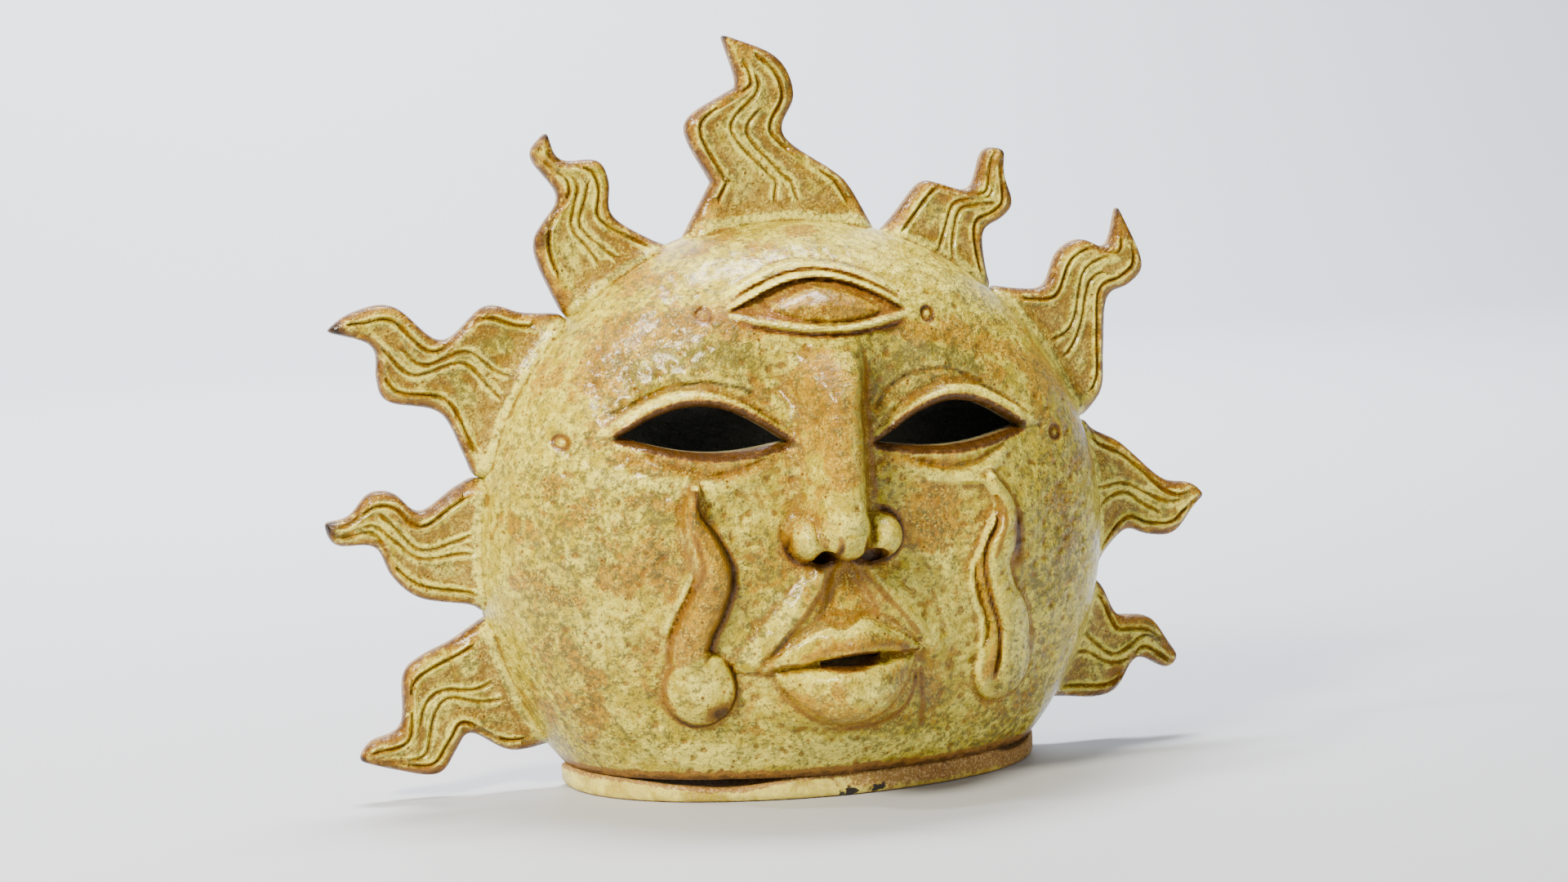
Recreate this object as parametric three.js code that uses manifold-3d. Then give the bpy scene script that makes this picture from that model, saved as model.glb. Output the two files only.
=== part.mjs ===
// A glazed stoneware sun mask with three eyes and two tears, on its own low base.
// Millimetres, +Z up. The face looks towards -Y, and the origin is in the middle of the underside.
import * as THREE from "three";
import { mergeVertices } from "three/addons/utils/BufferGeometryUtils.js";
import Module from "manifold-3d";

const wasm = await Module();
wasm.setup();

// The face is a hollow dome on a flat back slab, open below, where it stands on its base.
const faceRadius = 117;
const faceDepth = 72;
const faceRoundness = 2.6;
const circleHeight = 85.5;
const wall = 7;
const backWall = 7;
const rayThickness = 7;

// The hole high in the back slab, which the air of the kiln and a hook would need.
const backHole = { up: 164, halfWidth: 30, halfHeight: 16 };

// The low base and the joint that the mask stands on.
const baseHeight = 8.2;
const baseLip = 1;
const baseEdge = 2.2;
const jointGap = 0.3;
const leftDip = { at: -37, reach: 22, depth: 3.4 };
const rightDip = { at: 74, reach: 9, depth: 2 };

// The eyes are cut through, and each is drawn from its inner to its outer corner.
const eyes = [
  { inner: [-17.5, 127.5], outer: [-73, 131], rise: 11.5, sag: 4.5 },
  { inner: [15, 125.5], outer: [70.5, 127], rise: 12, sag: 3.5 },
];
const lid = { width: 3.2, height: 4, gap: 2.6, overhang: 6 };
const lowerLid = { width: 2.6, height: 2, gap: 2.6 };
const thirdEye = {
  left: [-33, 172], right: [31, 170], rise: 13, sag: 5,
  lidWidth: 2.8, lidHeight: 6, lowerWidth: 2.4, lowerHeight: 4,
  ballWidth: 15, ballHeight: 4.5, ballRise: 4, floor: 2.5,
};

// The mouth is a short slot between full lips.
const mouth = { left: [-11.5, 51.5], right: [10.5, 53.5], rise: 2.6, sag: 1.6 };
const upperLip = { left: [-30, 50], right: [27, 53], rise: 8, width: 5.5, height: 5.5 };
const lowerLip = { left: [-25, 47], right: [23, 50], rise: -9, width: 6.5, height: 6.5 };
const lipGroove = { left: [-30, 49], right: [27, 52.5], rise: 1.5, width: 2.2, height: -4.5 };

// The nose, from the brow down to the philtrum.
const noseTop = 166;
const noseBridge = 140;
const noseTip = 97;
const noseFoot = 85;
const bridgeHeight = 20;
const tipHeight = 23;
const bridgeWidth = 7.5;
const tipWidth = 10.5;
const wing = { out: 13.5, up: 94.5, reach: 6, height: 12 };
const nostril = { out: 9, up: 88.5, radius: 2.8, depth: 9 };

// Broad swellings and hollows of the dome: centre, reach and height.
const swellings = [
  { at: [0, 169], reach: [46, 20], height: 7 },
  { at: [0, 60], reach: [27, 19], height: 9 },
  { at: [0, 34], reach: [28, 15], height: 12 },
  { at: [-48, 92], reach: [26, 30], height: 3 },
  { at: [48, 92], reach: [26, 30], height: 3 },
  { at: [-21, 148], reach: [12, 12], height: -4 },
  { at: [21, 148], reach: [12, 12], height: -4 },
];
const philtrum = { top: 85, foot: 68, topWidth: 3, footWidth: 11, depth: 4 };
const muzzleRidge = { from: [5, 86], to: [29, 54], width: 3.6, height: 3.5 };

// The tears swing from side to side as they run down, and each ends in a drop.
const tears = [
  { side: -1, out: 50.5, swing: 4.5, length: 49, phase: 57.5, drop: [-47.5, 38] },
  { side: 1, out: 57, swing: 3.5, length: 46, phase: 58, drop: [56.5, 39] },
];
const tearTop = 113;
const tearFoot = 36;
const tearWidth = 5.2;
const tearHeight = 5;
const dropWidth = 7.6;
const dropHeight = 11;

// Nine flames stand round the circle. A point is how far out and how far aside it lies.
const rays = [
  { name: "lowerLeft", angle: -156,
    left: [[-7, 26], [10, 21], [20, 8], [27, 11], [37, 16], [50, 7], [60, -2]],
    right: [[-3, -27], [11, -25], [23, -25], [32, -22], [41, -6], [53, -6]] },
  { name: "left", angle: 178,
    left: [[-2, 24], [2, 21], [20, 18], [30, 10], [36, -1], [50, -2], [54, -10]],
    right: [[1, -25], [8, -21], [20, -13], [29, -20], [38, -20], [45, -12]] },
  { name: "upperLeft", angle: 150,
    left: [[-1, 33], [6, 27], [20, 18], [38, 23], [45, 18], [52, 8], [69, 11]],
    right: [[-2, -33], [10, -27], [23, -23], [31, -5], [52, -8], [64, 1]] },
  { name: "topLeft", angle: 123,
    left: [[1, 22], [19, 19], [27, 15], [30, 9], [35, -1], [52, -1], [56, -11]],
    right: [[-4, -25], [2, -20], [18, -13], [28, -19], [37, -20], [45, -9]] },
  { name: "top", angle: 91,
    left: [[-7, 36], [13, 24], [15, 24], [35, 32], [46, 16], [49, 12], [67, 17]],
    right: [[-7, -37], [10, -28], [16, -22], [30, -4], [44, -9], [58, -3]] },
  { name: "topRight", angle: 60,
    left: [[-6, 24], [5, 21], [20, 18], [23, 12], [27, 0], [42, 2], [46, -5]],
    right: [[0, -24], [2, -21], [15, -12], [23, -16], [30, -17], [38, -9]] },
  { name: "upperRight", angle: 33,
    left: [[-2, 31], [7, 23], [15, 19], [26, 26], [36, 25], [43, 17], [55, 27]],
    right: [[0, -30], [11, -26], [20, -14], [32, 1], [42, 0], [51, 4]] },
  { name: "right", angle: 4,
    left: [[0, 29], [2, 25], [12, 19], [18, 13], [29, 2], [40, -1], [45, -6]],
    right: [[-1, -29], [2, -23], [12, -15], [20, -18], [31, -19], [40, -10]] },
  { name: "lowerRight", angle: -23,
    left: [[-1, 24], [4, 22], [13, 14], [18, 15], [27, 17], [37, 11], [43, 7]],
    right: [[-3, -25], [6, -22], [18, -18], [24, -12], [27, 1], [40, 1]] },
];
const rootDepth = 14;
const flameSteps = 3;

// How finely the curved forms are faceted.
const faceCells = 54;
const hollowCells = 18;
const rimShare = 0.35;
const baseColumns = 30;
const eyeSteps = 14;
const throughCut = 150;
const behind = 6;

// The mask stands on the joint, and the part is centred over the base.
const maskFoot = baseHeight + jointGap;

const clamp = (value, low, high) => Math.min(high, Math.max(low, value));
const mix = (from, to, share) => from + (to - from) * share;
const bow = (share) => Math.sin(Math.PI * clamp(share, 0, 1));

function rise(from, to, value) {
  const share = clamp((value - from) / (to - from), 0, 1);
  return share * share * (3 - 2 * share);
}

function dome(x, z, radius, depth) {
  const out = Math.hypot(x, z - circleHeight) / radius;
  return depth * Math.sqrt(Math.max(0, 1 - out ** faceRoundness));
}

function swelling(x, z, { at, reach, height }) {
  return height * Math.exp(-(((x - at[0]) / reach[0]) ** 2) - ((z - at[1]) / reach[1]) ** 2);
}

// A ridge or groove along an arch between two corners.
function arch(x, z, { left, right, rise: lift, width, height }) {
  const share = (x - left[0]) / (right[0] - left[0]);
  if (share <= 0 || share >= 1) return 0;
  const centre = mix(left[1], right[1], share) + lift * bow(share);
  const slope = (right[1] - left[1] + lift * Math.PI * Math.cos(Math.PI * share)) / (right[0] - left[0]);
  const away = (z - centre) / Math.hypot(1, slope);
  const reach = width * (0.5 + 0.5 * bow(share));
  return height * Math.min(1, 2 * bow(share)) * Math.exp(-((away / reach) ** 2));
}

function eyelids(x, z, { inner, outer, rise: lift, sag }) {
  const side = Math.sign(outer[0]);
  const corners = [inner, outer].map(([across, up], end) => [across + side * (end ? 1 : -0.5) * lid.overhang, up]);
  const [left, right] = side < 0 ? [corners[1], corners[0]] : corners;
  const upper = arch(x, z, { left, right, rise: lift + lid.gap, width: lid.width, height: lid.height });
  const low = side < 0 ? [outer, inner] : [inner, outer];
  const under = { left: low[0], right: low[1], rise: -sag - lowerLid.gap, width: lowerLid.width };
  return upper + arch(x, z, { ...under, height: lowerLid.height });
}

function middleEye(x, z) {
  const { left, right, rise: lift, sag } = thirdEye;
  const upper = { left, right, rise: lift, width: thirdEye.lidWidth, height: thirdEye.lidHeight };
  const lower = { left, right, rise: -sag, width: thirdEye.lowerWidth, height: thirdEye.lowerHeight };
  const middle = [(left[0] + right[0]) / 2, (left[1] + right[1]) / 2 + (lift - sag) / 4];
  const ball = { at: middle, reach: [thirdEye.ballWidth, thirdEye.ballHeight], height: thirdEye.ballRise };
  const hollow = { left, right, rise: lift / 2, width: lift / 2, height: -thirdEye.floor };
  return arch(x, z, upper) + arch(x, z, lower) + arch(x, z, hollow) + swelling(x, z, ball);
}

function nose(x, z) {
  const across = Math.abs(x);
  const down = clamp((noseTop - z) / (noseTop - noseBridge), 0, 1);
  const along = clamp((noseBridge - z) / (noseBridge - noseTip), 0, 1);
  const ridge = mix(bridgeHeight * rise(0, 1, down), tipHeight, along) * rise(noseFoot - 3, noseTip - 5, z);
  const width = mix(mix(2 * bridgeWidth, bridgeWidth, down), tipWidth, along);
  const wings = { at: [wing.out, wing.up], reach: [wing.reach, wing.reach], height: wing.height };
  return Math.max(ridge * Math.exp(-((across / width) ** 2.6)), swelling(across, z, wings));
}

function muzzle(x, z) {
  const across = Math.abs(x);
  const share = (philtrum.top - z) / (philtrum.top - philtrum.foot);
  const width = mix(philtrum.topWidth, philtrum.footWidth, clamp(share, 0, 1));
  const ends = Math.min(rise(-0.1, 0.15, share), rise(1.15, 0.9, share));
  const recess = -philtrum.depth * ends * rise(width + 1.5, width - 1.5, across);
  const { from, to } = muzzleRidge;
  const run = [to[0] - from[0], to[1] - from[1]];
  const dot = (across - from[0]) * run[0] + (z - from[1]) * run[1];
  const part = clamp(dot / (run[0] ** 2 + run[1] ** 2), 0, 1);
  const away = Math.hypot(across - from[0] - run[0] * part, z - from[1] - run[1] * part);
  return recess + muzzleRidge.height * Math.exp(-((away / muzzleRidge.width) ** 2));
}

function tearline(x, z, { side, out, swing, length, phase, drop }) {
  const turn = (2 * Math.PI * (z - phase)) / length;
  const centre = side * (out + swing * Math.cos(turn));
  const slope = (swing * 2 * Math.PI * Math.sin(turn)) / length;
  const width = tearWidth * mix(0.55, 1, rise(tearTop, tearTop - 25, z));
  const away = (x - centre) / Math.hypot(1, slope) / width;
  const ends = Math.min(rise(tearTop, tearTop - 8, z), rise(tearFoot - 6, tearFoot, z));
  const ribbon = ends * Math.sqrt(Math.max(0, 1 - away ** 2));
  const bulb = 1 - ((x - drop[0]) / dropWidth) ** 2 - ((z - drop[1]) / dropHeight) ** 2;
  return tearHeight * Math.max(ribbon, Math.sqrt(Math.max(0, bulb)));
}

// How far the face stands in front of the back plane.
function faceAt(x, z) {
  const plain = dome(x, z, faceRadius, faceDepth);
  let relief = nose(x, z) + muzzle(x, z) + middleEye(x, z);
  for (const each of swellings) relief += swelling(x, z, each);
  for (const eye of eyes) relief += eyelids(x, z, eye);
  for (const ridge of [upperLip, lowerLip, lipGroove]) relief += arch(x, z, ridge);
  for (const tear of tears) relief += tearline(x, z, tear);
  return plain + relief * Math.min(1, (2 * plain) / faceDepth);
}

function solid(geometry) {
  geometry.deleteAttribute("normal");
  geometry.deleteAttribute("uv");
  const merged = mergeVertices(geometry, 1e-4);
  const vertProperties = new Float32Array(merged.attributes.position.array);
  const triVerts = new Uint32Array(merged.index.array);
  return new wasm.Manifold(new wasm.Mesh({ numProp: 3, vertProperties, triVerts }));
}

function toGeometry(manifold) {
  const { vertProperties, triVerts, numProp } = manifold.getMesh();
  const positions = new Float32Array((vertProperties.length / numProp) * 3);
  for (let corner = 0; corner * numProp < vertProperties.length; corner++) {
    for (let axis = 0; axis < 3; axis++) positions[corner * 3 + axis] = vertProperties[corner * numProp + axis];
  }
  const geometry = new THREE.BufferGeometry();
  geometry.setAttribute("position", new THREE.BufferAttribute(positions, 3));
  geometry.setIndex(new THREE.BufferAttribute(new Uint32Array(triVerts), 1));
  geometry.computeVertexNormals();
  return geometry;
}

function indexed(positions, triangles) {
  const geometry = new THREE.BufferGeometry();
  geometry.setAttribute("position", new THREE.BufferAttribute(new Float32Array(positions), 3));
  geometry.setIndex(triangles);
  return geometry;
}

// A square of cells rounded into a disc, raised by a height function, and closed behind the back plane.
function cushion(cells, radius, heightAt) {
  const positions = [];
  const depths = [];
  for (let row = 0; row <= cells; row++) {
    for (let column = 0; column <= cells; column++) {
      const u = (2 * column) / cells - 1;
      const v = (2 * row) / cells - 1;
      const flat = [u * Math.sqrt(1 - v * v / 2), v * Math.sqrt(1 - u * u / 2)];
      const out = Math.hypot(...flat);
      const scale = out > 0 ? mix(1, Math.sin((out * Math.PI) / 2) / out, rimShare) : mix(1, Math.PI / 2, rimShare);
      const x = radius * flat[0] * scale;
      const z = circleHeight + radius * flat[1] * scale;
      const edge = row === 0 || row === cells || column === 0 || column === cells;
      const depth = edge ? 0 : heightAt(x, z);
      positions.push(x, -depth, z);
      depths.push(depth);
    }
  }
  const across = cells + 1;
  const triangles = [];
  for (let row = 0; row < cells; row++) {
    for (let column = 0; column < cells; column++) {
      const a = row * across + column;
      const [b, c, d] = [a + 1, a + across + 1, a + across];
      if (Math.abs(depths[a] - depths[c]) < Math.abs(depths[b] - depths[d])) triangles.push(a, b, c, a, c, d);
      else triangles.push(a, b, d, b, c, d);
    }
  }
  const rim = [];
  for (let step = 0; step < cells; step++) rim.push(step);
  for (let step = 0; step < cells; step++) rim.push(step * across + cells);
  for (let step = cells; step > 0; step--) rim.push(cells * across + step);
  for (let step = cells; step > 0; step--) rim.push(step * across);
  const first = positions.length / 3;
  for (const corner of rim) positions.push(positions[corner * 3], behind, positions[corner * 3 + 2]);
  positions.push(0, behind, circleHeight);
  const centre = first + rim.length;
  rim.forEach((corner, step) => {
    const next = (step + 1) % rim.length;
    triangles.push(corner, first + step, rim[next], rim[next], first + step, first + next);
    triangles.push(first + step, centre, first + next);
  });
  return solid(indexed(positions, triangles));
}

// An outline in x and z, cut or raised between two depths in front of the back plane.
function slab(outline, back, front) {
  const shape = new THREE.Shape(outline.map(([x, z]) => new THREE.Vector2(x, z)));
  const geometry = new THREE.ExtrudeGeometry(shape, { depth: front - back, bevelEnabled: false });
  geometry.rotateX(Math.PI / 2);
  geometry.translate(0, -back, 0);
  return solid(geometry);
}

function almond({ left, right, rise: lift, sag }) {
  const upper = [];
  const lower = [];
  for (let step = 0; step <= eyeSteps; step++) {
    const share = step / eyeSteps;
    const x = mix(left[0], right[0], share);
    const z = mix(left[1], right[1], share);
    upper.push([x, z + lift * bow(share)]);
    if (step > 0 && step < eyeSteps) lower.push([x, z - sag * bow(share)]);
  }
  return upper.reverse().concat(lower);
}

function eyeOpening({ inner, outer, rise: lift, sag }) {
  const [left, right] = outer[0] < 0 ? [outer, inner] : [inner, outer];
  return slab(almond({ left, right, rise: lift, sag }), -behind, throughCut);
}

function nostrilHole(side) {
  const x = side * nostril.out;
  const hole = new THREE.CylinderGeometry(nostril.radius, nostril.radius, throughCut, 10);
  hole.translate(x, -throughCut / 2 - faceAt(x, nostril.up) + nostril.depth, nostril.up);
  return solid(hole);
}

function flameOutline({ angle, left, right }) {
  const turn = (angle * Math.PI) / 180;
  const place = ([out, aside]) => [
    (faceRadius + out) * Math.cos(turn) - aside * Math.sin(turn),
    circleHeight + (faceRadius + out) * Math.sin(turn) + aside * Math.cos(turn),
  ];
  const smooth = (points) => {
    const corners = points.map(([out, aside]) => new THREE.Vector3(out, aside, 0));
    const curve = new THREE.CatmullRomCurve3(corners, false, "catmullrom", 0.5);
    return curve.getPoints(flameSteps * (points.length - 1)).map(({ x, y }) => [x, y]);
  };
  const tip = left[left.length - 1];
  const leftEdge = smooth(left);
  const rightEdge = smooth([...right, tip]).reverse().slice(1);
  const roots = [[-rootDepth, rightEdge.at(-1)[1] * 0.9], [-rootDepth, leftEdge[0][1] * 0.9]];
  return [...leftEdge, ...rightEdge, ...roots].map(place).reverse();
}

// All the room in front of a depth and above a height.
function room(front, foot) {
  const block = new THREE.BoxGeometry(4 * faceRadius, throughCut, 4 * faceRadius);
  block.translate(0, -front - throughCut / 2, foot + 2 * faceRadius);
  return solid(block);
}

function maskSolid() {
  let mask = cushion(faceCells, faceRadius, faceAt);
  for (const ray of rays) mask = mask.add(slab(flameOutline(ray), -behind, rayThickness));
  const hollow = cushion(hollowCells, faceRadius - wall, (x, z) => dome(x, z, faceRadius - wall, faceDepth - wall));
  mask = mask.subtract(hollow.intersect(room(backWall, -faceRadius)));
  const { up, halfWidth, halfHeight } = backHole;
  const hole = almond({ left: [-halfWidth, up], right: [halfWidth, up], rise: halfHeight, sag: halfHeight });
  mask = mask.subtract(slab(hole, -behind, 2 * backWall));
  for (const eye of eyes) mask = mask.subtract(eyeOpening(eye));
  mask = mask.subtract(slab(almond(mouth), -behind, throughCut));
  for (const side of [-1, 1]) mask = mask.subtract(nostrilHole(side));
  return mask.intersect(room(0, maskFoot));
}

function baseTop(x) {
  const dips = [leftDip, rightDip].map(({ at, reach, depth }) => depth * Math.exp(-(((x - at) / reach) ** 4)));
  return baseHeight - dips[0] - dips[1];
}

const footHalfWidth = Math.sqrt(faceRadius ** 2 - (circleHeight - maskFoot) ** 2);
const baseHalfWidth = footHalfWidth + baseLip;
const baseDepth = faceAt(0, maskFoot) + baseLip;

// Rings of the same outline, rounded at the edges, closed by strips from front to back.
function baseSolid() {
  const columns = [];
  for (let step = 0; step <= baseColumns; step++) {
    const across = Math.sin(((step / baseColumns) * 2 - 1) * (Math.PI / 2));
    const front = Math.max(baseEdge, faceAt(across * footHalfWidth, maskFoot) + baseLip);
    columns.push([across * baseHalfWidth, -front]);
  }
  const outline = [...columns, ...columns.map(([x]) => [x, 0]).reverse()];
  const rings = [
    { inset: baseEdge, height: () => 0 },
    { inset: baseEdge * 0.3, height: () => baseEdge * 0.3 },
    { inset: 0, height: () => baseEdge },
    { inset: 0, height: (x) => baseTop(x) - baseEdge * 0.4 },
    { inset: baseEdge * 0.4, height: (x) => baseTop(x) },
  ];
  const positions = [];
  for (const { inset, height } of rings) {
    for (const [x, y] of outline) {
      const inwards = x * (1 - inset / baseHalfWidth);
      positions.push(inwards, mix(y, -baseDepth / 2, (2 * inset) / baseDepth), height(inwards));
    }
  }
  const round = outline.length;
  const triangles = [];
  for (let ring = 0; ring + 1 < rings.length; ring++) {
    for (let step = 0; step < round; step++) {
      const [a, b] = [ring * round + step, ring * round + ((step + 1) % round)];
      triangles.push(a, b, a + round, b, b + round, a + round);
    }
  }
  const top = (rings.length - 1) * round;
  for (let step = 0; step < baseColumns; step++) {
    const [a, b, c, d] = [step, step + 1, round - 2 - step, round - 1 - step];
    triangles.push(a, c, b, a, d, c);
    triangles.push(top + a, top + b, top + c, top + a, top + c, top + d);
  }
  return indexed(positions, triangles);
}

function piece(name, geometry, color) {
  const material = new THREE.MeshStandardMaterial({ color, roughness: 0.3, metalness: 0 });
  const mesh = new THREE.Mesh(geometry, material);
  mesh.name = name;
  mesh.position.y = baseDepth / 2;
  return mesh;
}

const sunMask = new THREE.Group();
sunMask.name = "sun_mask";
sunMask.add(piece("mask", toGeometry(maskSolid()), 0xb59a4f));
sunMask.add(piece("base", baseSolid(), 0xa98c58));

export default sunMask;
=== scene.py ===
import math

import bmesh
import bpy
import numpy as np
from mathutils import Matrix, Vector
from mathutils.geometry import delaunay_2d_cdt


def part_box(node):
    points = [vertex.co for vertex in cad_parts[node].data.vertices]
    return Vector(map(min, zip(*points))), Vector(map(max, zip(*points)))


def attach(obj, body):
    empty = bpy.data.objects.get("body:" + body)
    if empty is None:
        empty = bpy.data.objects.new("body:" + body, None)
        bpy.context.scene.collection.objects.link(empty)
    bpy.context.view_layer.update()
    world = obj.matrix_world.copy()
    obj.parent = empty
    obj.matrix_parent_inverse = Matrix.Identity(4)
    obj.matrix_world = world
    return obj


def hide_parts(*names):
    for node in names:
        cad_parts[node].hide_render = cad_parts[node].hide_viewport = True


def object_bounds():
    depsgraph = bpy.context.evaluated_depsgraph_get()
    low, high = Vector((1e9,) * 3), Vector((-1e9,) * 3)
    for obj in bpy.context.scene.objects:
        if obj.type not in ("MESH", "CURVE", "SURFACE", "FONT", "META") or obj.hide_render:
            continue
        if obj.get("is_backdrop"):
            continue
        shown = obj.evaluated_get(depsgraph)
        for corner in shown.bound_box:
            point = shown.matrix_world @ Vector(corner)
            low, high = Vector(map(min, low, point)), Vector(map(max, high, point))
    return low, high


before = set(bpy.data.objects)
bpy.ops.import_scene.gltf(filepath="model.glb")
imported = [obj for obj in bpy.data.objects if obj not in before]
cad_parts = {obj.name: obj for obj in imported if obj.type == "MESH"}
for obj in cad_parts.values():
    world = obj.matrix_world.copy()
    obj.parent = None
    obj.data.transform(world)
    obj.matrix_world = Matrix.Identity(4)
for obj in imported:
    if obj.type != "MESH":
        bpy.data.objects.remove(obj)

cad_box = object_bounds()
MM = 0.001

# The frame gives the places: the back plane, the joint between the pieces and the underside.
mask_low, mask_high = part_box("mask")
base_low, base_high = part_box("base")
BACK = mask_high.y / MM
MASK_FOOT = mask_low.z / MM
BASE_HEIGHT = base_high.z / MM
BASE_DEPTH = (base_high.y - base_low.y) / MM
BASE_HALF_WIDTH = base_high.x / MM

# The same form as the solids, in millimetres.
FACE_RADIUS = 117
FACE_DEPTH = 72
FACE_ROUNDNESS = 2.6
CIRCLE_HEIGHT = 85.5
WALL = 7
BACK_WALL = 7
RAY_THICKNESS = 7
BACK_HOLE = {"left": (-30, 164), "right": (30, 164), "rise": 16, "sag": 16}
# How far solids reach behind the back plane before they are cut, and cutters in front.
BEHIND = 6
THROUGH = 150

EYES = [
    {"left": (-73, 131), "right": (-17.5, 127.5), "rise": 11.5, "sag": 4.5},
    {"left": (15, 125.5), "right": (70.5, 127), "rise": 12, "sag": 3.5},
]
LID_OVERHANG = 6
# The folds under an eye: how far below it, width and height.
LOWER_LID = [(2.5, 2.6, 1.6), (11.5, 4.2, 1.7), (7.2, 1.3, -1.3)]
LID_BAND = 4.5
LID_HEIGHT = 3.6
EYE_RIM = 2.8
THIRD_EYE = {"left": (-33, 172), "right": (31, 170), "rise": 11.8, "sag": 4.8}
THIRD_BALL = {"left": (-19, 172.5), "right": (21, 170.5), "rise": 7.6, "sag": 4.3}

MOUTH = {"left": (-11.5, 51.5), "right": (10.5, 53.5), "rise": 2.6, "sag": 1.6}

NOSE_TOP = 166
NOSE_BRIDGE = 140
NOSE_TIP = 97
BRIDGE_HEIGHT = 20
TIP_HEIGHT = 23
BRIDGE_WIDTH = 7.5
TIP_WIDTH = 10.5
WING = {"out": 13.5, "up": 94.5, "height": 12}
NOSTRIL = {"out": 9, "up": 88.5, "radius": 3.4, "depth": 9}

SWELLINGS = [
    ((0, 169), (46, 20), 7),
    ((0, 60), (27, 19), 9),
    ((0, 34), (28, 15), 12),
    ((-48, 92), (26, 30), 3),
    ((48, 92), (26, 30), 3),
    ((-21, 148), (12, 12), -4),
    ((21, 148), (12, 12), -4),
]
PHILTRUM = {"top": 85, "foot": 68, "top_width": 3, "foot_width": 9.5, "depth": 2.1}
MUZZLE_RIDGE = {"from": (6, 85), "to": (32, 54), "width": 5.0, "height": 3.6}

RAYS = [
    {"name": "lower_left", "angle": -156,
     "left": [(-7, 26), (10, 21), (20, 8), (27, 11), (37, 16), (50, 7), (60, -2)],
     "right": [(-3, -27), (11, -25), (23, -25), (32, -22), (41, -6), (53, -6)]},
    {"name": "left", "angle": 178,
     "left": [(-2, 24), (2, 21), (20, 18), (30, 10), (36, -1), (50, -2), (54, -10)],
     "right": [(1, -25), (8, -21), (20, -13), (29, -20), (38, -20), (45, -12)]},
    {"name": "upper_left", "angle": 150,
     "left": [(-1, 33), (6, 27), (20, 18), (38, 23), (45, 18), (52, 8), (69, 11)],
     "right": [(-2, -33), (10, -27), (23, -23), (31, -5), (52, -8), (64, 1)]},
    {"name": "top_left", "angle": 123,
     "left": [(1, 22), (19, 19), (27, 15), (30, 9), (35, -1), (52, -1), (56, -11)],
     "right": [(-4, -25), (2, -20), (18, -13), (28, -19), (37, -20), (45, -9)]},
    {"name": "top", "angle": 91,
     "left": [(-7, 36), (13, 24), (15, 24), (35, 32), (46, 16), (49, 12), (67, 17)],
     "right": [(-7, -37), (10, -28), (16, -22), (30, -4), (44, -9), (58, -3)]},
    {"name": "top_right", "angle": 60,
     "left": [(-6, 24), (5, 21), (20, 18), (23, 12), (27, 0), (42, 2), (46, -5)],
     "right": [(0, -24), (2, -21), (15, -12), (23, -16), (30, -17), (38, -9)]},
    {"name": "upper_right", "angle": 33,
     "left": [(-2, 31), (7, 23), (15, 19), (26, 26), (36, 25), (43, 17), (55, 27)],
     "right": [(0, -30), (11, -26), (20, -14), (32, 1), (42, 0), (51, 4)]},
    {"name": "right", "angle": 4,
     "left": [(0, 29), (2, 25), (12, 19), (18, 13), (29, 2), (40, -1), (45, -6)],
     "right": [(-1, -29), (2, -23), (12, -15), (20, -18), (31, -19), (40, -10)]},
    {"name": "lower_right", "angle": -23,
     "left": [(-1, 24), (4, 22), (13, 14), (18, 15), (27, 17), (37, 11), (43, 7)],
     "right": [(-3, -25), (6, -22), (18, -18), (24, -12), (27, 1), (40, 1)]},
]
ROOT_DEPTH = 14

# How finely the surfaces are meshed, in cells or millimetres.
FACE_CELLS = 274
HOLLOW_CELLS = 60
RIM_SHARE = 0.35
EDGE_STEP = 1.0
LINE_STEP = 1.1
FIELD_STEP = 1.7


def clamp(value, low=0.0, high=1.0):
    return np.minimum(high, np.maximum(low, value))


def mix(start, end, share):
    return start + (end - start) * share


def bow(share):
    """0 at both ends of a line and 1 in its middle."""
    return np.sin(np.pi * clamp(share))


def ends(share, steepness):
    """1 along a line and 0 at its ends."""
    return np.minimum(1, steepness * bow(share))


def rise(start, end, value):
    """Smoothly from 0 at the start to 1 at the end."""
    share = clamp((value - start) / (end - start))
    return share * share * (3 - 2 * share)


def hill(value, width):
    """A smooth hill of height 1 where a value is 0."""
    return np.exp(-((value / width) ** 2))


def bump(x, z, at, reach, height=1.0):
    """A smooth round swelling, of a reach in x and one in z."""
    return height * np.exp(-(((x - at[0]) / reach[0]) ** 2) - ((z - at[1]) / reach[1]) ** 2)


def spline(points, steps):
    """A smooth curve through the points, by the Catmull-Rom formula."""
    points = np.asarray(points, float)
    held = np.vstack([2 * points[0] - points[1], points, 2 * points[-1] - points[-2]])
    made = []
    for span in range(len(points) - 1):
        a, b, c, d = held[span:span + 4]
        for step in range(steps):
            t = step / steps
            made.append(0.5 * (2 * b + (c - a) * t + (2 * a - 5 * b + 4 * c - d) * t ** 2
                               + (3 * b - a - 3 * c + d) * t ** 3))
    made.append(points[-1])
    return np.array(made)


def dome(x, z, radius=FACE_RADIUS, depth=FACE_DEPTH):
    """The smooth dome of the face: its height over the back plane."""
    out = np.hypot(x, z - CIRCLE_HEIGHT) / radius
    return depth * np.sqrt(np.maximum(0, 1 - out ** FACE_ROUNDNESS))


def arch_place(x, z, left, right, lift):
    """Share along an arch between two corners, and the distance above its line."""
    share = (x - left[0]) / (right[0] - left[0])
    centre = mix(left[1], right[1], share) + lift * bow(share)
    slope = (right[1] - left[1] + lift * np.pi * np.cos(np.pi * clamp(share))) / (right[0] - left[0])
    return share, (z - centre) / np.hypot(1, slope)


def within(share):
    """Whether a place lies between the two corners."""
    return (share > 0) & (share < 1)


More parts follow.
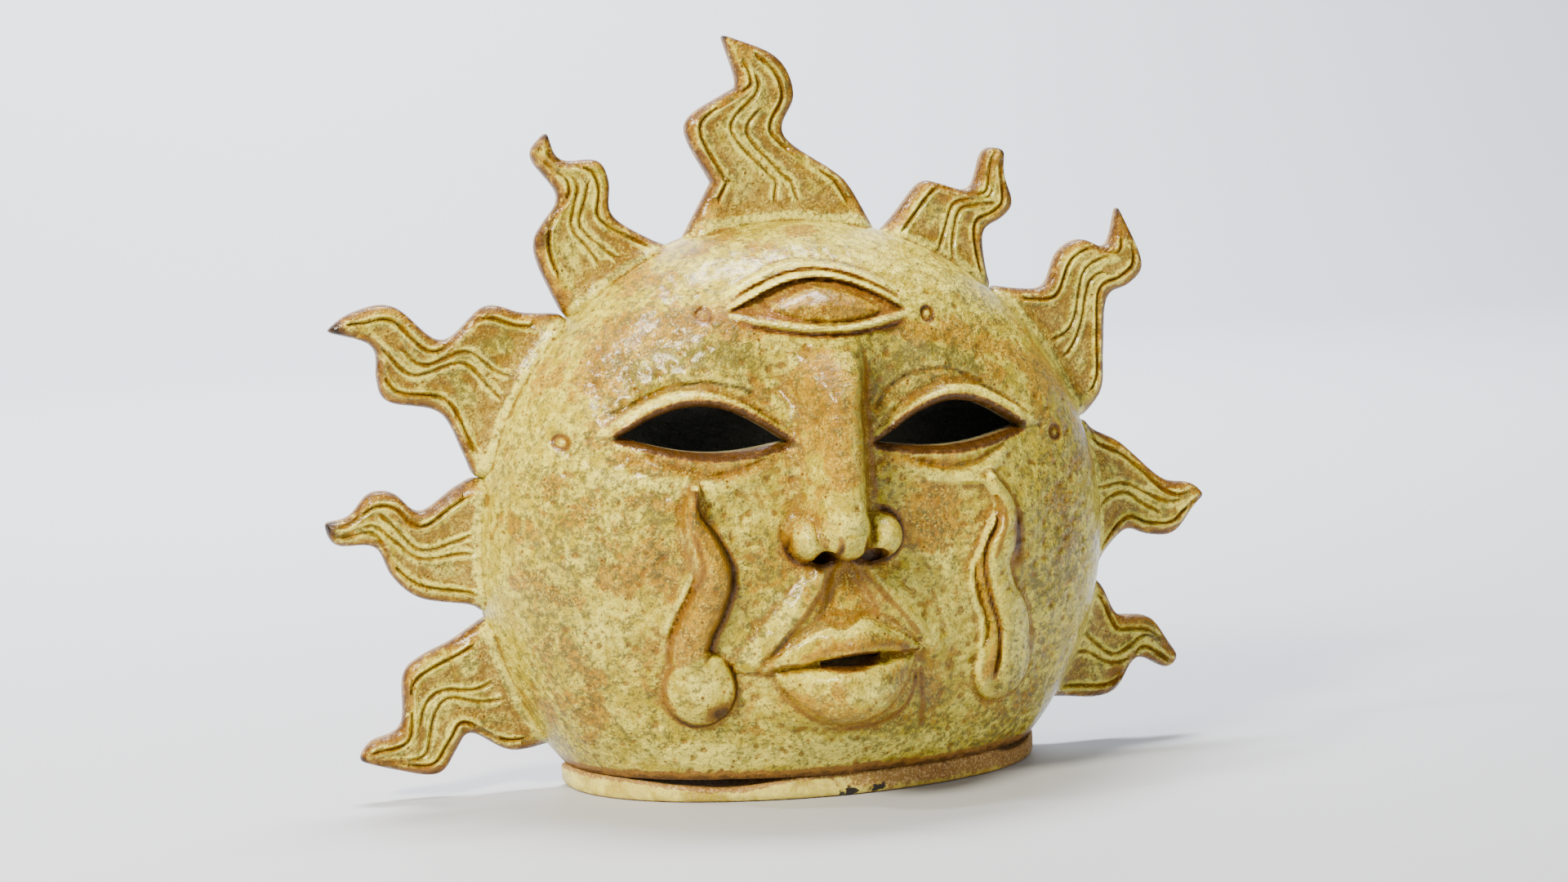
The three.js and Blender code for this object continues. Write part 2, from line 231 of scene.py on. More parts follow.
def arch(x, z, left, right, lift, width, height):
    """A ridge or groove along an arch between two corners."""
    share, away = arch_place(x, z, left, right, lift)
    reach = width * (0.5 + 0.5 * bow(share))
    return within(share) * height * ends(share, 2) * hill(away, reach)


def almond_place(x, z, shape):
    """Share across an almond, and the distances above its upper and above its lower line."""
    share, above = arch_place(x, z, shape["left"], shape["right"], shape["rise"])
    return share, above, arch_place(x, z, shape["left"], shape["right"], -shape["sag"])[1]


def eye_distance(x, z, eye):
    """Distance outside an eye's opening, negative inside it."""
    share, above, below = almond_place(x, z, eye)
    corner_gap = np.minimum(*[np.hypot(x - at[0], z - at[1]) for at in (eye["left"], eye["right"])])
    return np.where(within(share), np.maximum(above, -below), corner_gap)


def lid_corners(eye):
    """An upper lid runs past its eye, and further and a little lower at the outer end."""
    (left_x, left_z), (right_x, right_z) = eye["left"], eye["right"]
    inner, outer = LID_OVERHANG * 0.5, LID_OVERHANG * 1.4
    if left_x < 0:
        return (left_x - outer, left_z - 1), (right_x + inner, right_z)
    return (left_x - inner, left_z), (right_x + outer, right_z - 1)


def lid_band(x, z, eye):
    """Share along an upper lid, the distance above its middle line, and its width there."""
    share, above = arch_place(x, z, *lid_corners(eye), eye["rise"] + LID_BAND * 0.35)
    return share, above, LID_BAND * (0.35 + 0.65 * bow(share))


def eyelids(x, z, eye):
    """The raised band over an eye, the folds under it and the rounded rim of the opening."""
    share, above, band = lid_band(x, z, eye)
    crest = rise(band * 1.05, band * 0.7, above) * rise(-band * 1.7, -band * 0.4, above)
    total = within(share) * LID_HEIGHT * ends(share, 2.4) * crest
    total = total + arch(x, z, *lid_corners(eye), eye["rise"] + LID_BAND * 1.7, 2.2, -1.3)
    for drop, width, height in LOWER_LID:
        total = total + arch(x, z, eye["left"], eye["right"], -eye["sag"] - drop, width, height)
    out = eye_distance(x, z, eye)
    rim = -EYE_RIM * 1.5 * (1 - np.sqrt(np.maximum(0, 1 - (1 - clamp(out / EYE_RIM)) ** 2)))
    return total + np.where(out < EYE_RIM, rim, 0)


def middle_eye(x, z):
    """The third eye: a lid line over a deep recess, a ball with its rim, and a lower lid line."""
    share, above, below = almond_place(x, z, THIRD_EYE)
    inside = within(share) * rise(0.7, -0.7, above) * rise(-0.7, 0.7, below)
    side = within(share) * ends(share, 2.2)
    crest = 3.6 * rise(2.4, 0.8, above) + 2.6 * rise(6.5, 4.8, above) * rise(2.2, 3.4, above)
    crest = side * crest * rise(-0.9, 0.1, above)
    lower = side * 2.6 * rise(-2.6, -1.0, below) * rise(0.8, 0.1, below)
    under = -1.1 * side * hill(below + 3.3, 1.1)
    ball_share, over, beneath = almond_place(x, z, THIRD_BALL)
    ball = within(ball_share) * 4.4 * np.sqrt(clamp(-np.maximum(over, -beneath) / 5.5))
    return crest + lower + under - inside * 1.7 + ball


def join_soft(first, second, reach=3.0):
    """The higher of two heights, with a soft fillet where they meet."""
    share = clamp(0.5 + 0.5 * (first - second) / reach)
    return mix(second, first, share) + reach * share * (1 - share)


def ball_height(x, z, at, reach, height, power=0.5):
    """A ball that stands out, round to its edge."""
    inside = 1 - ((x - at[0]) / reach[0]) ** 2 - ((z - at[1]) / reach[1]) ** 2
    return height * np.maximum(0, inside) ** power


def nose(x, z):
    """A flat-topped bridge with one steep and one soft side, a ball tip and two wings."""
    middle = mix(-2.2, 0.5, clamp((z - NOSE_TIP) / 60))
    across = x - middle
    down = clamp((NOSE_TOP - z) / (NOSE_TOP - NOSE_BRIDGE))
    along = clamp((NOSE_BRIDGE - z) / (NOSE_BRIDGE - NOSE_TIP))
    ridge = mix(BRIDGE_HEIGHT * 0.95 * rise(0, 1, down), TIP_HEIGHT - 2, along)
    ridge = ridge * rise(NOSE_TIP - 11, NOSE_TIP + 3, z)
    width = mix(mix(1.9 * BRIDGE_WIDTH, BRIDGE_WIDTH + 0.6, down), TIP_WIDTH - 1.5, along)
    steep = np.where(across > 0, 3.6, 2.5)
    wide = np.where(across > 0, width * 1.02, width * 1.3)
    bridge = ridge * np.exp(-((np.abs(across) / wide) ** steep))
    tip = ball_height(across, z, (0.2, NOSE_TIP + 0.5), (10.8, 11.5), TIP_HEIGHT - 0.3, 0.45)
    left = ball_height(x, z, (-WING["out"] + 0.2, WING["up"] + 0.5), (7.8, 8.2), WING["height"] + 4.5)
    right = ball_height(x, z, (WING["out"] - 1.4, WING["up"]), (8.2, 8.4), WING["height"] + 4.5)
    front = join_soft(bridge, tip, 5.0)
    round_tip = hill(np.hypot(across, (z - NOSE_TIP) * 0.9) - 10.2, 1.2)
    crease = -1.7 * round_tip * rise(90, 96, z) * rise(104, 98, z)
    notch = -1.0 * hill(x - 0.6, 0.9) * rise(102, 105, z) * rise(112, 108, z)
    return join_soft(front, join_soft(left, right, 0.5), 2.4) + crease + notch


# The line between the lips by its two corners and its lift in the middle, and the lips' outer edges by
# their corners, their lift and how soon they reach it.
PARTING = ((-32, 48.8), (27.5, 52.8), 1.5)
UPPER_LIP = ((-31, 49.6), (27, 53.2), 14.2, 0.85)
LOWER_LIP = ((-26, 47.6), (24, 51.2), -19, 0.72)
UPPER_LIP_HEIGHT = 6.4
LOWER_LIP_HEIGHT = 9.0


def lip_line(x, left, right, lift, power):
    """The height of an outline between two corners, and its share across them."""
    share = clamp((x - left[0]) / (right[0] - left[0]))
    return mix(left[1], right[1], share) + lift * bow(share) ** power, share


def lip_bulge(share, side, height, crown):
    """A full round section that ends in a crisp edge at a share of 1."""
    inside = np.sqrt(np.maximum(0, 1 - ((share - crown) / (1.12 - crown)) ** 2))
    return height * side * inside * rise(1.1, 0.93, share) * (share > -0.4)


def lips(x, z):
    """Two full lips with crisp outer edges and a deep line between them."""
    parting = lip_line(x, *PARTING, 1)[0]
    top, side = lip_line(x, *UPPER_LIP)
    top = top - 2.2 * hill(x + 3.0, 4.0) + 0.9 * hill(x - 6, 4)
    up = (z - parting) / np.maximum(0.6, top - parting)
    upper = lip_bulge(up, bow(side) ** 0.5, UPPER_LIP_HEIGHT, 0.3) + 1.6 * bump(x, z, (-1, 57), (5, 3.5))
    foot, low_side = lip_line(x, *LOWER_LIP)
    down = (parting - z) / np.maximum(0.6, parting - foot)
    lower = lip_bulge(down, bow(low_side) ** 0.5, LOWER_LIP_HEIGHT, 0.42)
    share, away = arch_place(x, z, *PARTING)
    open_part = rise(-17, -11, x) * rise(16, 10, x)
    deep = within(share) * ends(share, 3) * mix(3.2, 7.5, open_part)
    line = -deep * hill(away, mix(1.1, 2.1, open_part))
    under = bump(x, z, (-2, 27), (20, 4), -3.2)
    return np.maximum(upper, lower) + line + under


def muzzle(x, z):
    """The hollow under the nose, and the ridges that run from it down past the mouth."""
    across = np.abs(x + 0.5)
    share = (PHILTRUM["top"] - z) / (PHILTRUM["top"] - PHILTRUM["foot"])
    width = mix(PHILTRUM["top_width"], PHILTRUM["foot_width"], clamp(share))
    fade = np.minimum(rise(-0.1, 0.15, share), rise(1.2, 0.85, share))
    recess = -PHILTRUM["depth"] * fade * rise(width + 1.5, width - 1.5, across)
    start, end = MUZZLE_RIDGE["from"], MUZZLE_RIDGE["to"]
    run = (end[0] - start[0], end[1] - start[1])
    part = clamp(((across - start[0]) * run[0] + (z - start[1]) * run[1]) / (run[0] ** 2 + run[1] ** 2))
    away = np.hypot(across - start[0] - run[0] * part, z - start[1] - run[1] * part)
    return recess + MUZZLE_RIDGE["height"] * hill(away, MUZZLE_RIDGE["width"])


LEFT_TEAR = spline([(-51, 113), (-52.5, 104), (-48.5, 93), (-46, 83),
                    (-48.5, 73), (-53, 63), (-54, 53), (-50, 42)], 8)
LEFT_RIDGE = spline([(-56, 101), (-54, 94), (-53, 86), (-56.5, 77), (-60.5, 69), (-62.5, 62)], 8)
RIGHT_TEAR = spline([(55, 111), (60.5, 101), (58.5, 91), (55, 81),
                     (57.5, 70), (62, 60), (62, 49), (58, 39)], 8)
RIGHT_RIDGE = spline([(38, 110.5), (52, 110), (56.5, 102), (53.5, 94), (49, 86),
                      (46.5, 78), (47.5, 69), (51, 60), (50, 48), (48.5, 36)], 8)
RIGHT_FOLD = spline([(57, 103), (56, 95), (52, 88), (51, 80), (53.5, 68), (57, 58), (57, 47), (55, 37)], 8)
# Each tear: its line, how far from it to look, its widths at the top and in the middle, the share of its
# length by which it has grown to that, how much wider it is at the foot and between which shares that
# comes, the place and reach of the round drop at the foot, and its height.
TEARS = [
    {"line": LEFT_TEAR, "reach": 12, "widths": (1.8, 6.5), "grown": 0.4,
     "foot": 0.85, "foot_shares": (0.7, 1), "drop": (-50.5, 43.5), "drop_reach": (12.0, 14.0), "height": 6.8},
    {"line": RIGHT_TEAR, "reach": 14, "widths": (2.0, 7.0), "grown": 0.35,
     "foot": 1.35, "foot_shares": (0.5, 0.9), "drop": (61, 44), "drop_reach": (11.5, 13.5), "height": 5.6},
]
FAR = 99.0
# Ridges and a fold on the tears: line, width, height and how soon it has its full height.
TEAR_LINES = [(LEFT_RIDGE, 1.8, 1.7, 5), (RIGHT_RIDGE, 1.1, 1.5, 5), (RIGHT_FOLD, 1.2, -2.4, 4)]


def closest(points, line):
    """The distance from each point to a line, and the share of the line's steps at the nearest place."""
    best = np.full(len(points), 1e9)
    place = np.zeros(len(points))
    for step, (start, end) in enumerate(zip(line[:-1], line[1:])):
        run = end - start
        part = clamp(((points - start) @ run) / max(1e-9, run @ run))
        gap = np.linalg.norm(points - start - part[:, None] * run, axis=1)
        place = np.where(gap < best, step + part, place)
        best = np.minimum(best, gap)
    return best, place / (len(line) - 1)


def along_line(x, z, line, reach):
    """The distance to a line and the share of its length, near it only."""
    away = np.full(x.shape, FAR)
    share = np.zeros(x.shape)
    low, high = line.min(0) - reach, line.max(0) + reach
    near = (x > low[0]) & (x < high[0]) & (z > low[1]) & (z < high[1])
    away[near], share[near] = closest(np.stack([x[near], z[near]], 1), line)
    return away, share


def drop_inside(x, z, shape):
    """How far inside a tear's drop: 1 in its middle and 0 at its edge."""
    at, reach = shape["drop"], shape["drop_reach"]
    return 1 - ((x - at[0]) / reach[0]) ** 2 - ((z - at[1]) / reach[1]) ** 2


def tear(x, z, shape):
    """A thick winding body and a round drop, 1 in the middle and 0 at the edge."""
    away, share = along_line(x, z, shape["line"], shape["reach"])
    width = mix(*shape["widths"], rise(0, shape["grown"], share))
    width = width * mix(1, shape["foot"], rise(*shape["foot_shares"], share))
    body = 1 - (away / width) ** 2
    return np.maximum(0, np.maximum(body, drop_inside(x, z, shape))) ** 0.5


def tears(x, z):
    """The height of both tears with their ridges and fold."""
    left, right = [shape["height"] * tear(x, z, shape) for shape in TEARS]
    height = left + right
    for line, wide, tall, speed in TEAR_LINES:
        away, share = along_line(x, z, line, 6)
        height = height + tall * hill(away, wide) * ends(share, speed)
    return height


# How many waves are crossed, and what brings their sum to between -1 and 1.
WAVES = 7
WAVES_SUM = 4.2


def waves(x, z, seed, size):
    """Smooth hand-made unevenness between -1 and 1, from a few crossed waves."""
    total = np.zeros(np.broadcast(x, z).shape)
    chance = np.random.default_rng(seed)
    for _ in range(WAVES):
        angle, phase = chance.uniform(0, 2 * np.pi, 2)
        length = size * chance.uniform(0.6, 1.7)
        total += np.sin(2 * np.pi * (x * np.cos(angle) + z * np.sin(angle)) / length + phase)
    return total / WAVES_SUM


def pits(x, z, count, seed, low=(-112, 10), high=(112, 200), size=(0.7, 1.6)):
    """Small round pits and scars scattered over the face."""
    chance = np.random.default_rng(seed)
    total = np.zeros(x.shape)
    for _ in range(count):
        at = chance.uniform(low, high)
        reach = chance.uniform(*size)
        near = (np.abs(x - at[0]) < 4 * reach) & (np.abs(z - at[1]) < 4 * reach)
        total[near] += np.exp(-(((x[near] - at[0]) ** 2 + (z[near] - at[1]) ** 2) / reach ** 2))
    return np.minimum(1, total)


DIMPLES = [(-91, 129), (87, 123), (-41, 171), (39, 168)]
DIMPLE_RADIUS = 2.8


def dimples(x, z):
    """Drilled dimples: a hollow with a raised bead in it."""
    total = np.zeros(x.shape)
    for at in DIMPLES:
        out = np.hypot(x - at[0], z - at[1]) / DIMPLE_RADIUS
        total += -2.4 * np.exp(-(out ** 4)) + 2.0 * hill(out, 0.5)
    return total


# Fine incised lines of the face, each with its strength.
FACE_LINES = [
    ([(-78, 138), (-68, 141.5), (-57, 146.5), (-49, 148), (-42, 148.5), (-31, 146), (-22, 140)], 1.0),
    ([(14, 136), (21, 143.5), (29, 148), (38, 149.5), (46, 148.5), (55, 144), (67, 136)], 1.0),
    ([(-72, 120), (-61, 118), (-50, 116.5), (-38, 117)], 0.55),
    ([(-84, 130.5), (-73, 131)], 0.9),
    ([(-20, 127.5), (-13, 126)], 0.9),
    ([(69, 127), (80, 126.5)], 0.9),
    ([(9.5, 125), (16, 125.6)], 0.9),
    ([(-20, 182.5), (-12, 185.5), (-3, 187.5), (6, 187.5), (15, 185), (24, 179.5)], 0.9),
    ([(-41, 48), (-36, 48.6), (-31, 49)], 0.9),
    ([(-12, 154), (-13, 145), (-12, 136)], 0.5),
    ([(-14, 77), (-22, 63), (-29, 53)], 0.55),
    ([(-9.5, 86), (-20, 77), (-31, 65), (-41, 53)], 0.3),
    ([(31, 75), (33, 68), (36, 60)], 0.4),
]


def face_lines(x, z):
    """Incised lines of the face, from 0 to 1."""
    total = np.zeros(x.shape)
    for points, strength in FACE_LINES:
        away, share = along_line(x, z, spline(points, 8), 4)
        total = np.maximum(total, strength * hill(away, 0.75) * ends(share, 8))
    return total


# The face's unevenness in waves of a height, a seed and a size, its pits and incised lines, and the limit
# of the solids in front of it.
UNEVEN = [(0.8, 3, 34), (0.42, 4, 11), (0.22, 6, 4.5)]
PITS = 650
PIT_SEED = 5
PIT_DEPTH = 0.8
LINE_DEPTH = 0.9
FRONT_LIMIT = (mask_high.y - mask_low.y) / MM - 0.3


def face_at(x, z):
    """How far the face stands in front of the back plane."""
    plain = dome(x, z)
    relief = nose(x, z) + muzzle(x, z) + lips(x, z) + middle_eye(x, z) + dimples(x, z) + tears(x, z)
    for at, reach, height in SWELLINGS:
        relief = relief + bump(x, z, at, reach, height)
    for eye in EYES:
        relief = relief + eyelids(x, z, eye)
    relief = relief - LINE_DEPTH * face_lines(x, z)
    uneven = sum(height * waves(x, z, seed, size) for height, seed, size in UNEVEN)
    relief = relief + uneven - PIT_DEPTH * pits(x, z, PITS, PIT_SEED)
    full = plain + relief * np.minimum(1, 2 * plain / FACE_DEPTH)
    return np.minimum(full, FRONT_LIMIT - 0.7 * np.exp(-np.maximum(0, full - FRONT_LIMIT)))


def build(name, points, faces):
    """A mesh object from points in millimetres in front of the back plane."""
    points = np.asarray(points, float)
    place = np.stack([points[:, 0], BACK - points[:, 1], points[:, 2]], 1) * MM
    mesh = bpy.data.meshes.new(name)
    mesh.from_pydata(place.tolist(), [], [tuple(int(i) for i in face) for face in faces])
    mesh.validate()
    thing = bpy.data.objects.new(name, mesh)
    bpy.context.scene.collection.objects.link(thing)
    return thing


def outward(thing):
    """Turn a closed mesh's faces outwards."""
    held = bmesh.new()
    held.from_mesh(thing.data)
    bmesh.ops.recalc_face_normals(held, faces=held.faces)
    if held.calc_volume(signed=True) < 0:
        bmesh.ops.reverse_faces(held, faces=held.faces)
    held.to_mesh(thing.data)
    held.free()
    return thing


def cushion(name, cells, radius, height_at, back=-BEHIND):
    """A square of cells rounded into a disc, raised by a height function, closed behind."""
    steps = np.linspace(-1, 1, cells + 1)
    u, v = np.meshgrid(steps, steps)
    flat_x, flat_z = u * np.sqrt(1 - v * v / 2), v * np.sqrt(1 - u * u / 2)
    out = np.maximum(1e-9, np.hypot(flat_x, flat_z))
    scale = mix(1, np.sin(out * np.pi / 2) / out, RIM_SHARE)
    x = radius * flat_x * scale
    z = CIRCLE_HEIGHT + radius * flat_z * scale
    depth = np.maximum(height_at(x, z), 0)
    depth[0, :] = depth[-1, :] = 0
    depth[:, 0] = depth[:, -1] = 0
    points = np.stack([x.ravel(), depth.ravel(), z.ravel()], 1)
    across = cells + 1
    index = np.arange(across * across).reshape(across, across)
    a, b = index[:-1, :-1].ravel(), index[:-1, 1:].ravel()
    c, d = index[1:, 1:].ravel(), index[1:, :-1].ravel()
    faces = np.stack([a, b, c, d], 1).tolist()
    rim = np.concatenate([index[0, :-1], index[:-1, -1], index[-1, :0:-1], index[:0:-1, 0]])
    first = len(points)
    ring = points[rim].copy()
    ring[:, 1] = back
    points = np.vstack([points, ring, [[0, back, CIRCLE_HEIGHT]]])
    centre = len(points) - 1
    count = len(rim)
    for step in range(count):
        after = (step + 1) % count
        faces.append([rim[step], first + step, first + after, rim[after]])
        faces.append([first + step, centre, first + after])
    return outward(build(name, points, faces))


def prism(name, outline, back, front):
    """An outline in x and z, solid between two depths."""
    count = len(outline)
    points = [(x, back, z) for x, z in outline] + [(x, front, z) for x, z in outline]
    faces = [list(range(count)), list(range(2 * count - 1, count - 1, -1))]
    for step in range(count):
        after = (step + 1) % count
        faces.append([step, step + count, after + count, after])
    return outward(build(name, points, faces))


def almond(shape, steps=36):
    """The outline of an almond: its upper line from right to left, and then its lower line."""
    left, right = shape["left"], shape["right"]
    upper, lower = [], []
    for step in range(steps + 1):
        share = step / steps
        x, z = mix(left[0], right[0], share), mix(left[1], right[1], share)
        curve = math.sin(math.pi * share)
        upper.append((x, z + shape["rise"] * curve))
        if 0 < step < steps:
            lower.append((x, z - shape["sag"] * curve))
    return upper[::-1] + lower


def join(target, tool, operation):
    """Join or cut with a second solid, which is then deleted."""
    change = target.modifiers.new("join", "BOOLEAN")
    change.object = tool
    change.operation = operation
    change.solver = "MANIFOLD"
    bpy.context.view_layer.update()
    made = bpy.data.meshes.new_from_object(target.evaluated_get(bpy.context.evaluated_depsgraph_get()))
    target.modifiers.clear()
    old = target.data
    target.data = made
    bpy.data.meshes.remove(old)
    tool_mesh = tool.data
    bpy.data.objects.remove(tool)
    bpy.data.meshes.remove(tool_mesh)


def evenly(line, step):
    """The same line with its points at even steps."""
    gaps = np.linalg.norm(np.diff(line, axis=0), axis=1)
    run = np.concatenate([[0], np.cumsum(gaps)])
    places = np.linspace(0, run[-1], max(2, int(round(run[-1] / step))) + 1)
    return np.stack([np.interp(places, run, line[:, axis]) for axis in (0, 1)], 1)


def line_distance(points, line):
    """The distance from each point to a polyline."""
    return closest(points, line)[0]


def ray_edges(ray):
    """The two edges of a flame from root to tip, in x and z."""
    turn = math.radians(ray["angle"])
    along = np.array([math.cos(turn), math.sin(turn)])
    aside = np.array([-along[1], along[0]])

    def place(line):
        out = np.outer(FACE_RADIUS + line[:, 0], along)
        return np.array([0, CIRCLE_HEIGHT]) + out + np.outer(line[:, 1], aside)

    tip = ray["left"][-1]
    left, right = spline(ray["left"], 10), spline(ray["right"] + [tip], 10)
    roots = [np.array([[-ROOT_DEPTH, edge[0][1] * 0.9]]) for edge in (left, right)]
    return place(np.vstack([roots[0], left])), place(np.vstack([roots[1], right]))


def ray_lines(left, right):
    """The incised lines of a flame: one inside each edge and two along the middle."""
    lines = []
    count = len(left)
    share = np.linspace(0, 1, count)
    width = np.linalg.norm(right - left, axis=1)
    near_edge = np.minimum(0.3, 5.0 / np.maximum(1, width))
    for at in (near_edge, 1 - near_edge):
        line = left + (right - left) * at[:, None]
        lines.append((line[int(0.12 * count):int(0.9 * count)], 1.0))
    for at, last in ((0.42 + 0.05 * np.sin(5 * share), 0.82), (0.62 - 0.05 * np.sin(6 * share), 0.6)):
        line = left + (right - left) * at[:, None]
        lines.append((line[int(0.12 * count):int(last * count)], 0.7))
    return lines


# The flames: how wide their rounded edge is, how high their side stands, the fillet at the face, how often
# their outline is smoothed, and where extra points lie beside a line and inside the outline.
RAY_EDGE = 3.0
RAY_SIDE = 3.2
FILLET = 5.0
FILLET_REACH = 4.0
OUTLINE_TURNS = 5
LINE_SHIFTS = (-1.9, -1.25, -0.6, 0, 0.6, 1.25, 1.9)
RIM_DEPTHS = (0.5, 1.2, 2.2)
RIM_GAP = 0.4
FIELD_GAP = 2.9
LINE_GAP = 2.4
FIRST_SEED = 20
POINT_GAP = 0.42


def ray_height(points, edge_gap, lines, seed):
    """How far a flame's front stands in front of the back plane."""
    share = clamp(edge_gap / RAY_EDGE)
    height = RAY_SIDE + (RAY_THICKNESS - 0.6 - RAY_SIDE) * np.sqrt(1 - (1 - share) ** 2)
    line_depth = np.zeros(len(points))
    burr = np.zeros(len(points))
    for line, strength in lines:
        away = line_distance(points, line)
        line_depth = np.maximum(line_depth, strength * hill(away, 0.5))
        burr = np.maximum(burr, strength * hill(away - 1.3, 0.6))
    out = np.hypot(points[:, 0], points[:, 1] - CIRCLE_HEIGHT) - FACE_RADIUS
    fillet = FILLET * np.exp(-np.maximum(0, out) / FILLET_REACH) * rise(0, 5, edge_gap)
    sway = 0.5 * waves(points[:, 0], points[:, 1], seed, 17)
    height = height + share * (0.65 * burr - 1.0 * line_depth + np.minimum(0.5, sway)) + fillet
    return np.maximum(RAY_SIDE * 0.6, height)


def inside_outline(points, outline):
    """Which points lie inside a closed outline."""
    x, z = points[:, 0], points[:, 1]
    hit = np.zeros(len(points), bool)
    for (x0, z0), (x1, z1) in zip(outline, np.roll(outline, -1, axis=0)):
        crossing = (z0 > z) != (z1 > z)
        hit ^= crossing & (x < (x1 - x0) * (z - z0) / (z1 - z0 + 1e-12) + x0)
    return hit


def beside(line):
    """The unit direction to the left of a line at each of its points."""
    along = np.gradient(line, axis=0)
    return np.stack([-along[:, 1], along[:, 0]], 1) / np.linalg.norm(along, axis=1)[:, None]


def inset(outline, depth):
    """The outline moved inwards by a small depth."""
    after = np.roll(outline, -1, axis=0) - np.roll(outline, 1, axis=0)
    aside = np.stack([-after[:, 1], after[:, 0]], 1)
    aside = aside / np.maximum(1e-9, np.linalg.norm(after, axis=1))[:, None]
    if inside_outline(outline + aside * 0.2, outline).mean() < 0.5:
        aside = -aside
    return outline + aside * depth


def thin(points, gap):
    """Drop points that lie closer than the gap to one already kept."""
    keep, cells = [], {}
    for index, (x, z) in enumerate(points):
        cell = (int(x // gap), int(z // gap))
        near = [cells.get((cell[0] + i, cell[1] + j)) for i in (-1, 0, 1) for j in (-1, 0, 1)]
        near = [points[other] for other in near if other is not None]
        if all(math.hypot(other[0] - x, other[1] - z) >= gap for other in near):
            cells[cell] = index
            keep.append(index)
    return points[keep]


def boundary_loop(faces):
    """The outer loop of a mesh of triangles, in order."""
    used = {edge: True for face in faces for edge in zip(face, face[1:] + face[:1])}
    after = {a: b for a, b in used if (b, a) not in used}
    start = next(iter(after))
    loop = [start]
    while after[loop[-1]] != start:
        loop.append(after[loop[-1]])
    return loop


def ray_points(outline, lines):
    """Mesh points inside a flame: close along its rim and its lines, and an even field between."""
    closed = np.vstack([outline, outline[:1]])
    low, high = outline.min(0), outline.max(0)
    inner = []
    for line, strength in lines:
        run = evenly(line, LINE_STEP)
        inner += [run + beside(run) * shift for shift in LINE_SHIFTS]
    grid = np.array([(x + (row % 2) * FIELD_STEP / 2, z)
                     for row, z in enumerate(np.arange(low[1], high[1], FIELD_STEP * 0.87))
                     for x in np.arange(low[0], high[0], FIELD_STEP)])
    gap = np.minimum.reduce([line_distance(grid, line) for line, strength in lines])
    field = np.vstack(inner + [grid[gap > LINE_GAP]])
    rims = np.vstack([inset(outline, depth) for depth in RIM_DEPTHS])
    kept = []
    for points, edge_gap in ((rims, RIM_GAP), (field, FIELD_GAP)):
        points = points[inside_outline(points, outline)]
        kept.append(points[line_distance(points, closed) > edge_gap])
    return thin(np.vstack(kept), POINT_GAP)


def ray_solid(ray, seed):
    """A flame as a closed solid, finely meshed in front and plain behind."""
    left, right = ray_edges(ray)
    lines = ray_lines(left[1:], right[1:])
    outline = np.vstack([evenly(left, EDGE_STEP), evenly(right[::-1], EDGE_STEP)[1:]])
    for _ in range(OUTLINE_TURNS):
        outline[3:-3] = 0.5 * outline[3:-3] + 0.25 * (outline[2:-4] + outline[4:-2])
    count = len(outline)
    everything = np.vstack([outline, ray_points(outline, lines)])
    edges = [(step, (step + 1) % count) for step in range(count)]
    result = delaunay_2d_cdt([Vector(p) for p in everything], edges, [], 1, 1e-5)
    made = np.array([tuple(v) for v in result[0]])
    faces = [list(face) for face in result[2]]
    edge_gap = line_distance(made, np.vstack([outline, outline[:1]]))
    rim_loop = boundary_loop(faces)
    height = ray_height(made, edge_gap, lines, seed)
    height[rim_loop] = RAY_SIDE
    points = [(p[0], h, p[1]) for p, h in zip(made, height)]
    points += [(made[index][0], -BEHIND, made[index][1]) for index in rim_loop]
    back_at = {index: len(made) + step for step, index in enumerate(rim_loop)}
    for index, after in zip(rim_loop, rim_loop[1:] + rim_loop[:1]):
        faces.append([index, back_at[index], back_at[after], after])
    faces.append([back_at[index] for index in rim_loop])
    return outward(build("ray_" + ray["name"], points, faces)), lines


def block(name, front, foot):
    """All the room in front of a depth and above a height."""
    reach = 3 * FACE_RADIUS
    outline = [(-reach, foot), (reach, foot), (reach, foot + 2 * reach), (-reach, foot + 2 * reach)]
    return prism(name, outline, front, front + THROUGH)


def hollow_depth(x, z):
    """The height of the inner wall over the back plane."""
    return dome(x, z, FACE_RADIUS - WALL, FACE_DEPTH - WALL)


def mask_piece():
    """The face with its flames, hollowed out, with its openings cut and its foot level."""
    mask = cushion("sun_mask", FACE_CELLS, FACE_RADIUS, face_at)
    all_lines = []
    for number, ray in enumerate(RAYS):
        solid, lines = ray_solid(ray, FIRST_SEED + number)
        all_lines += lines
        join(mask, solid, "UNION")
    hollow = cushion("hollow", HOLLOW_CELLS, FACE_RADIUS - WALL, hollow_depth)
    join(hollow, block("front_room", BACK_WALL, -FACE_RADIUS), "INTERSECT")
    join(mask, hollow, "DIFFERENCE")
    join(mask, prism("back_hole", almond(BACK_HOLE), -BEHIND, 2 * BACK_WALL), "DIFFERENCE")
    for shape in EYES + [MOUTH]:
        join(mask, prism("opening", almond(shape), 2 * BACK_WALL, THROUGH), "DIFFERENCE")
    for side in (-1, 1):
        join(mask, nostril_tool(side), "DIFFERENCE")
    join(mask, block("standing_room", 0, MASK_FOOT), "INTERSECT")
    return mask, all_lines


def nostril_tool(side):
    """A flattened round hole into the nose."""
    x, up, radius = side * NOSTRIL["out"], NOSTRIL["up"], NOSTRIL["radius"]
    top = float(face_at(np.array([float(x)]), np.array([float(up)]))[0])
    outline = [(x + radius * 1.15 * math.cos(turn), up + radius * 0.85 * math.sin(turn))
               for turn in np.linspace(0, 2 * math.pi, 24, endpoint=False)]
    return prism("nostril", outline, top - NOSTRIL["depth"], THROUGH)


